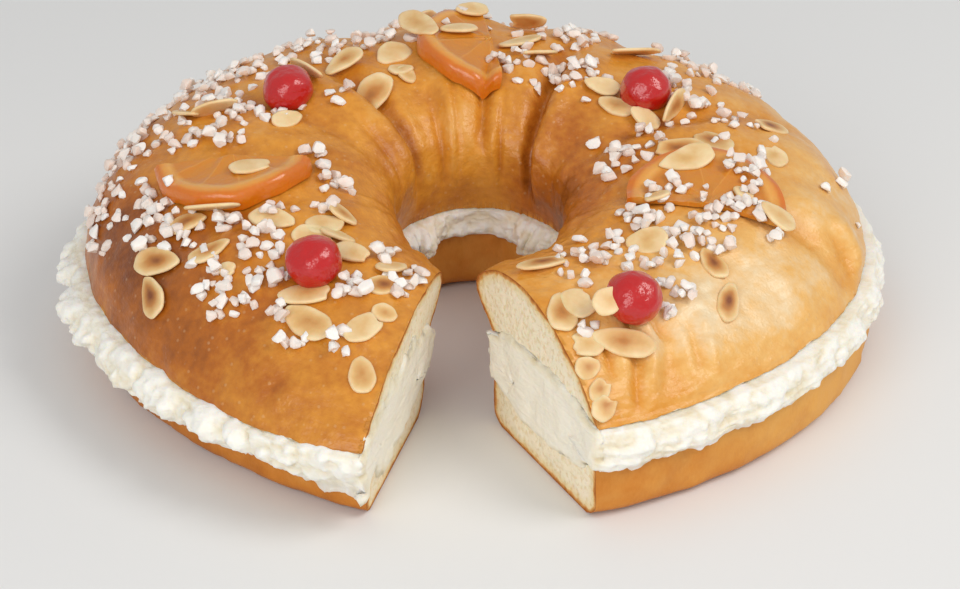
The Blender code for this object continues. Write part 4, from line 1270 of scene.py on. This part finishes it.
def nib_shape(draw, block, size):
    """A lump of sugar: a rounded block with flats struck off it in random directions."""
    stretch = np.array([draw.uniform(0.8, 1.25), draw.uniform(0.7, 1.1), draw.uniform(0.6, 0.95)])
    points = block * stretch
    for _ in range(7):
        way = draw.normal(size=3)
        way /= np.linalg.norm(way)
        over = np.clip(points @ way - draw.uniform(0.35, 0.75), 0, None)
        points = points - over[:, None] * way
    points *= 1 + 0.09 * draw.uniform(-1, 1, (len(points), 1))
    return points * size * 0.66


def rounded_block():
    """A cube half way to a ball, as its points and its quads."""
    work = bmesh.new()
    bmesh.ops.create_cube(work, size=1.6)
    bmesh.ops.subdivide_edges(work, edges=work.edges[:], cuts=2, use_grid_fill=True)
    work.verts.index_update()
    cube = np.array([vertex.co for vertex in work.verts])
    quads = np.array([[vertex.index for vertex in face.verts] for face in work.faces])
    work.free()
    return 0.35 * cube + 0.65 * cube / np.linalg.norm(cube, axis=1)[:, None], quads


def sugar_mesh(drifts, bread, oranges, cherries):
    """All the nibs as one mesh. Each drift strews half as many again as it says, as some find no room."""
    draw = np.random.default_rng(8)
    block, quads = rounded_block()
    places, faces, clear = [], [], []
    taken = []
    for degrees, across, spread, reach, count in drifts:
        for _ in range(count * 3 // 2):
            offset = draw.normal(size=2) * 0.80
            size = NIB_SIZE * draw.uniform(0.60, 1.20)
            if not FIRST_NIB < degrees + spread * offset[0] < LAST_NIB:
                continue
            grid = spot_on(bread, degrees + spread * offset[0], across + reach * offset[1])
            up = grid.col[2].to_3d()
            look = (grid.translation + up * 0.03, -up, 0.04)
            if any(tree.ray_cast(*look)[0] for tree in cherries):
                continue
            hits = [hit for hit in (tree.ray_cast(*look)[0] for tree in oranges) if hit]
            raised = max([0.0] + [(hit - grid.translation).dot(up) for hit in hits])
            spot = grid.translation + up * (raised + size * 0.22)
            crowd = [place for place, room in taken if (place - spot).length < (room + size) * 0.42]
            if len(crowd) > 1:
                continue
            spot += up * (0.45 * size if crowd else 0)
            taken.append((spot.copy(), size))
            turn = np.array(Matrix.Rotation(draw.uniform(0, 6.28), 3, Vector(draw.normal(size=3))))
            lie = np.array(grid.to_3x3())
            flat = nib_shape(draw, block, size) @ turn.T * [1, 1, 0.75]
            places.append(flat @ lie.T + np.array(spot))
            faces.append(quads + len(block) * (len(places) - 1))
            clear.append(np.full(len(block), draw.uniform()))
    mesh = bpy.data.meshes.new("sugar")
    mesh.from_pydata(np.concatenate(places).tolist(), [], np.concatenate(faces).tolist())
    write_note(mesh, "clear", np.concatenate(clear))
    mesh.shade_smooth()
    mesh.set_sharp_from_angle(angle=math.radians(42))
    return mesh


# Pearl sugar: pressed grains with air between them, drawn a little coarser than they are. It gives an
# opaque pinkish white, greyer in some lumps, with a faint sparkle.
nib_sugar, tree, shader, place = new_material(
    "nib_sugar",
    {
        "IOR": 1.5,
        "Roughness": 0.4,
        "Subsurface Weight": 0.4,
        "Subsurface Scale": 0.0015,
        "Subsurface Radius": (1.0, 0.85, 0.75),
        "Coat Weight": 0.15,
        "Coat Roughness": 0.25,
    },
)
clear = node(tree, "Attribute", {"attribute_name": "clear"}).outputs["Fac"]
sugar_color = node(
    tree,
    "ValToRGB",
    {},
    {"Fac": clear},
    [(0.0, linear("#EBD6C8")), (1.0, linear("#FAF3EC")), (0.5, linear("#F4E8DE"))],
)
tree.links.new(sugar_color.outputs["Color"], shader.inputs["Base Color"])
grains = node(tree, "TexNoise", {}, {"Vector": place, "Scale": 1 / 0.0008, "Detail": 2.0}).outputs["Fac"]
bump = node(tree, "Bump", {}, {"Height": grains, "Distance": 0.00025, "Strength": 0.6})
tree.links.new(bump.outputs[0], shader.inputs["Normal"])

sugar = sugar_mesh(DRIFTS, bread_tree, orange_trees, cherry_trees)
add_piece("sugar_nibs", sugar, [nib_sugar], None)


# The table: a plain pale matt surface under soft studio light, from a lamp high at the right, a broader
# one at the front left and a pale sky all round.

floor_mesh = bpy.data.meshes.new("floor")
floor_mesh.from_pydata([(-3, -3, 0), (3, -3, 0), (3, 3, 0), (-3, 3, 0)], [], [(0, 1, 2, 3)])
table_top = new_material("matt_table", {"Base Color": linear("#E9E8E6"), "Roughness": 0.7})[0]
floor_mesh.materials.append(table_top)
floor = bpy.data.objects.new("floor", floor_mesh)
floor.location.z = -0.0002
scene.collection.objects.link(floor)


LIT_SPOT = Vector((0, 0, 0.03))


def add_lamp(name, place, size, power, color):
    lamp = bpy.data.objects.new(name, bpy.data.lights.new(name, "AREA"))
    lamp.data.shape = "DISK"
    lamp.data.size = size
    lamp.data.energy = power
    lamp.data.color = linear(color)[:3]
    lamp.location = place
    lamp.rotation_euler = (LIT_SPOT - Vector(place)).to_track_quat("-Z", "Y").to_euler()
    scene.collection.objects.link(lamp)


add_lamp("key", (0.95, -0.35, 1.15), size=0.8, power=8.5, color="#FFFDFA")
add_lamp("fill", (-0.55, -1.35, 0.80), size=1.2, power=10.5, color="#FFFFFF")
scene.world = bpy.data.worlds.new("studio")
scene.world.use_nodes = True
background = scene.world.node_tree.nodes["Background"]
background.inputs["Color"].default_value = linear("#F4F6F8")
background.inputs["Strength"].default_value = 0.55
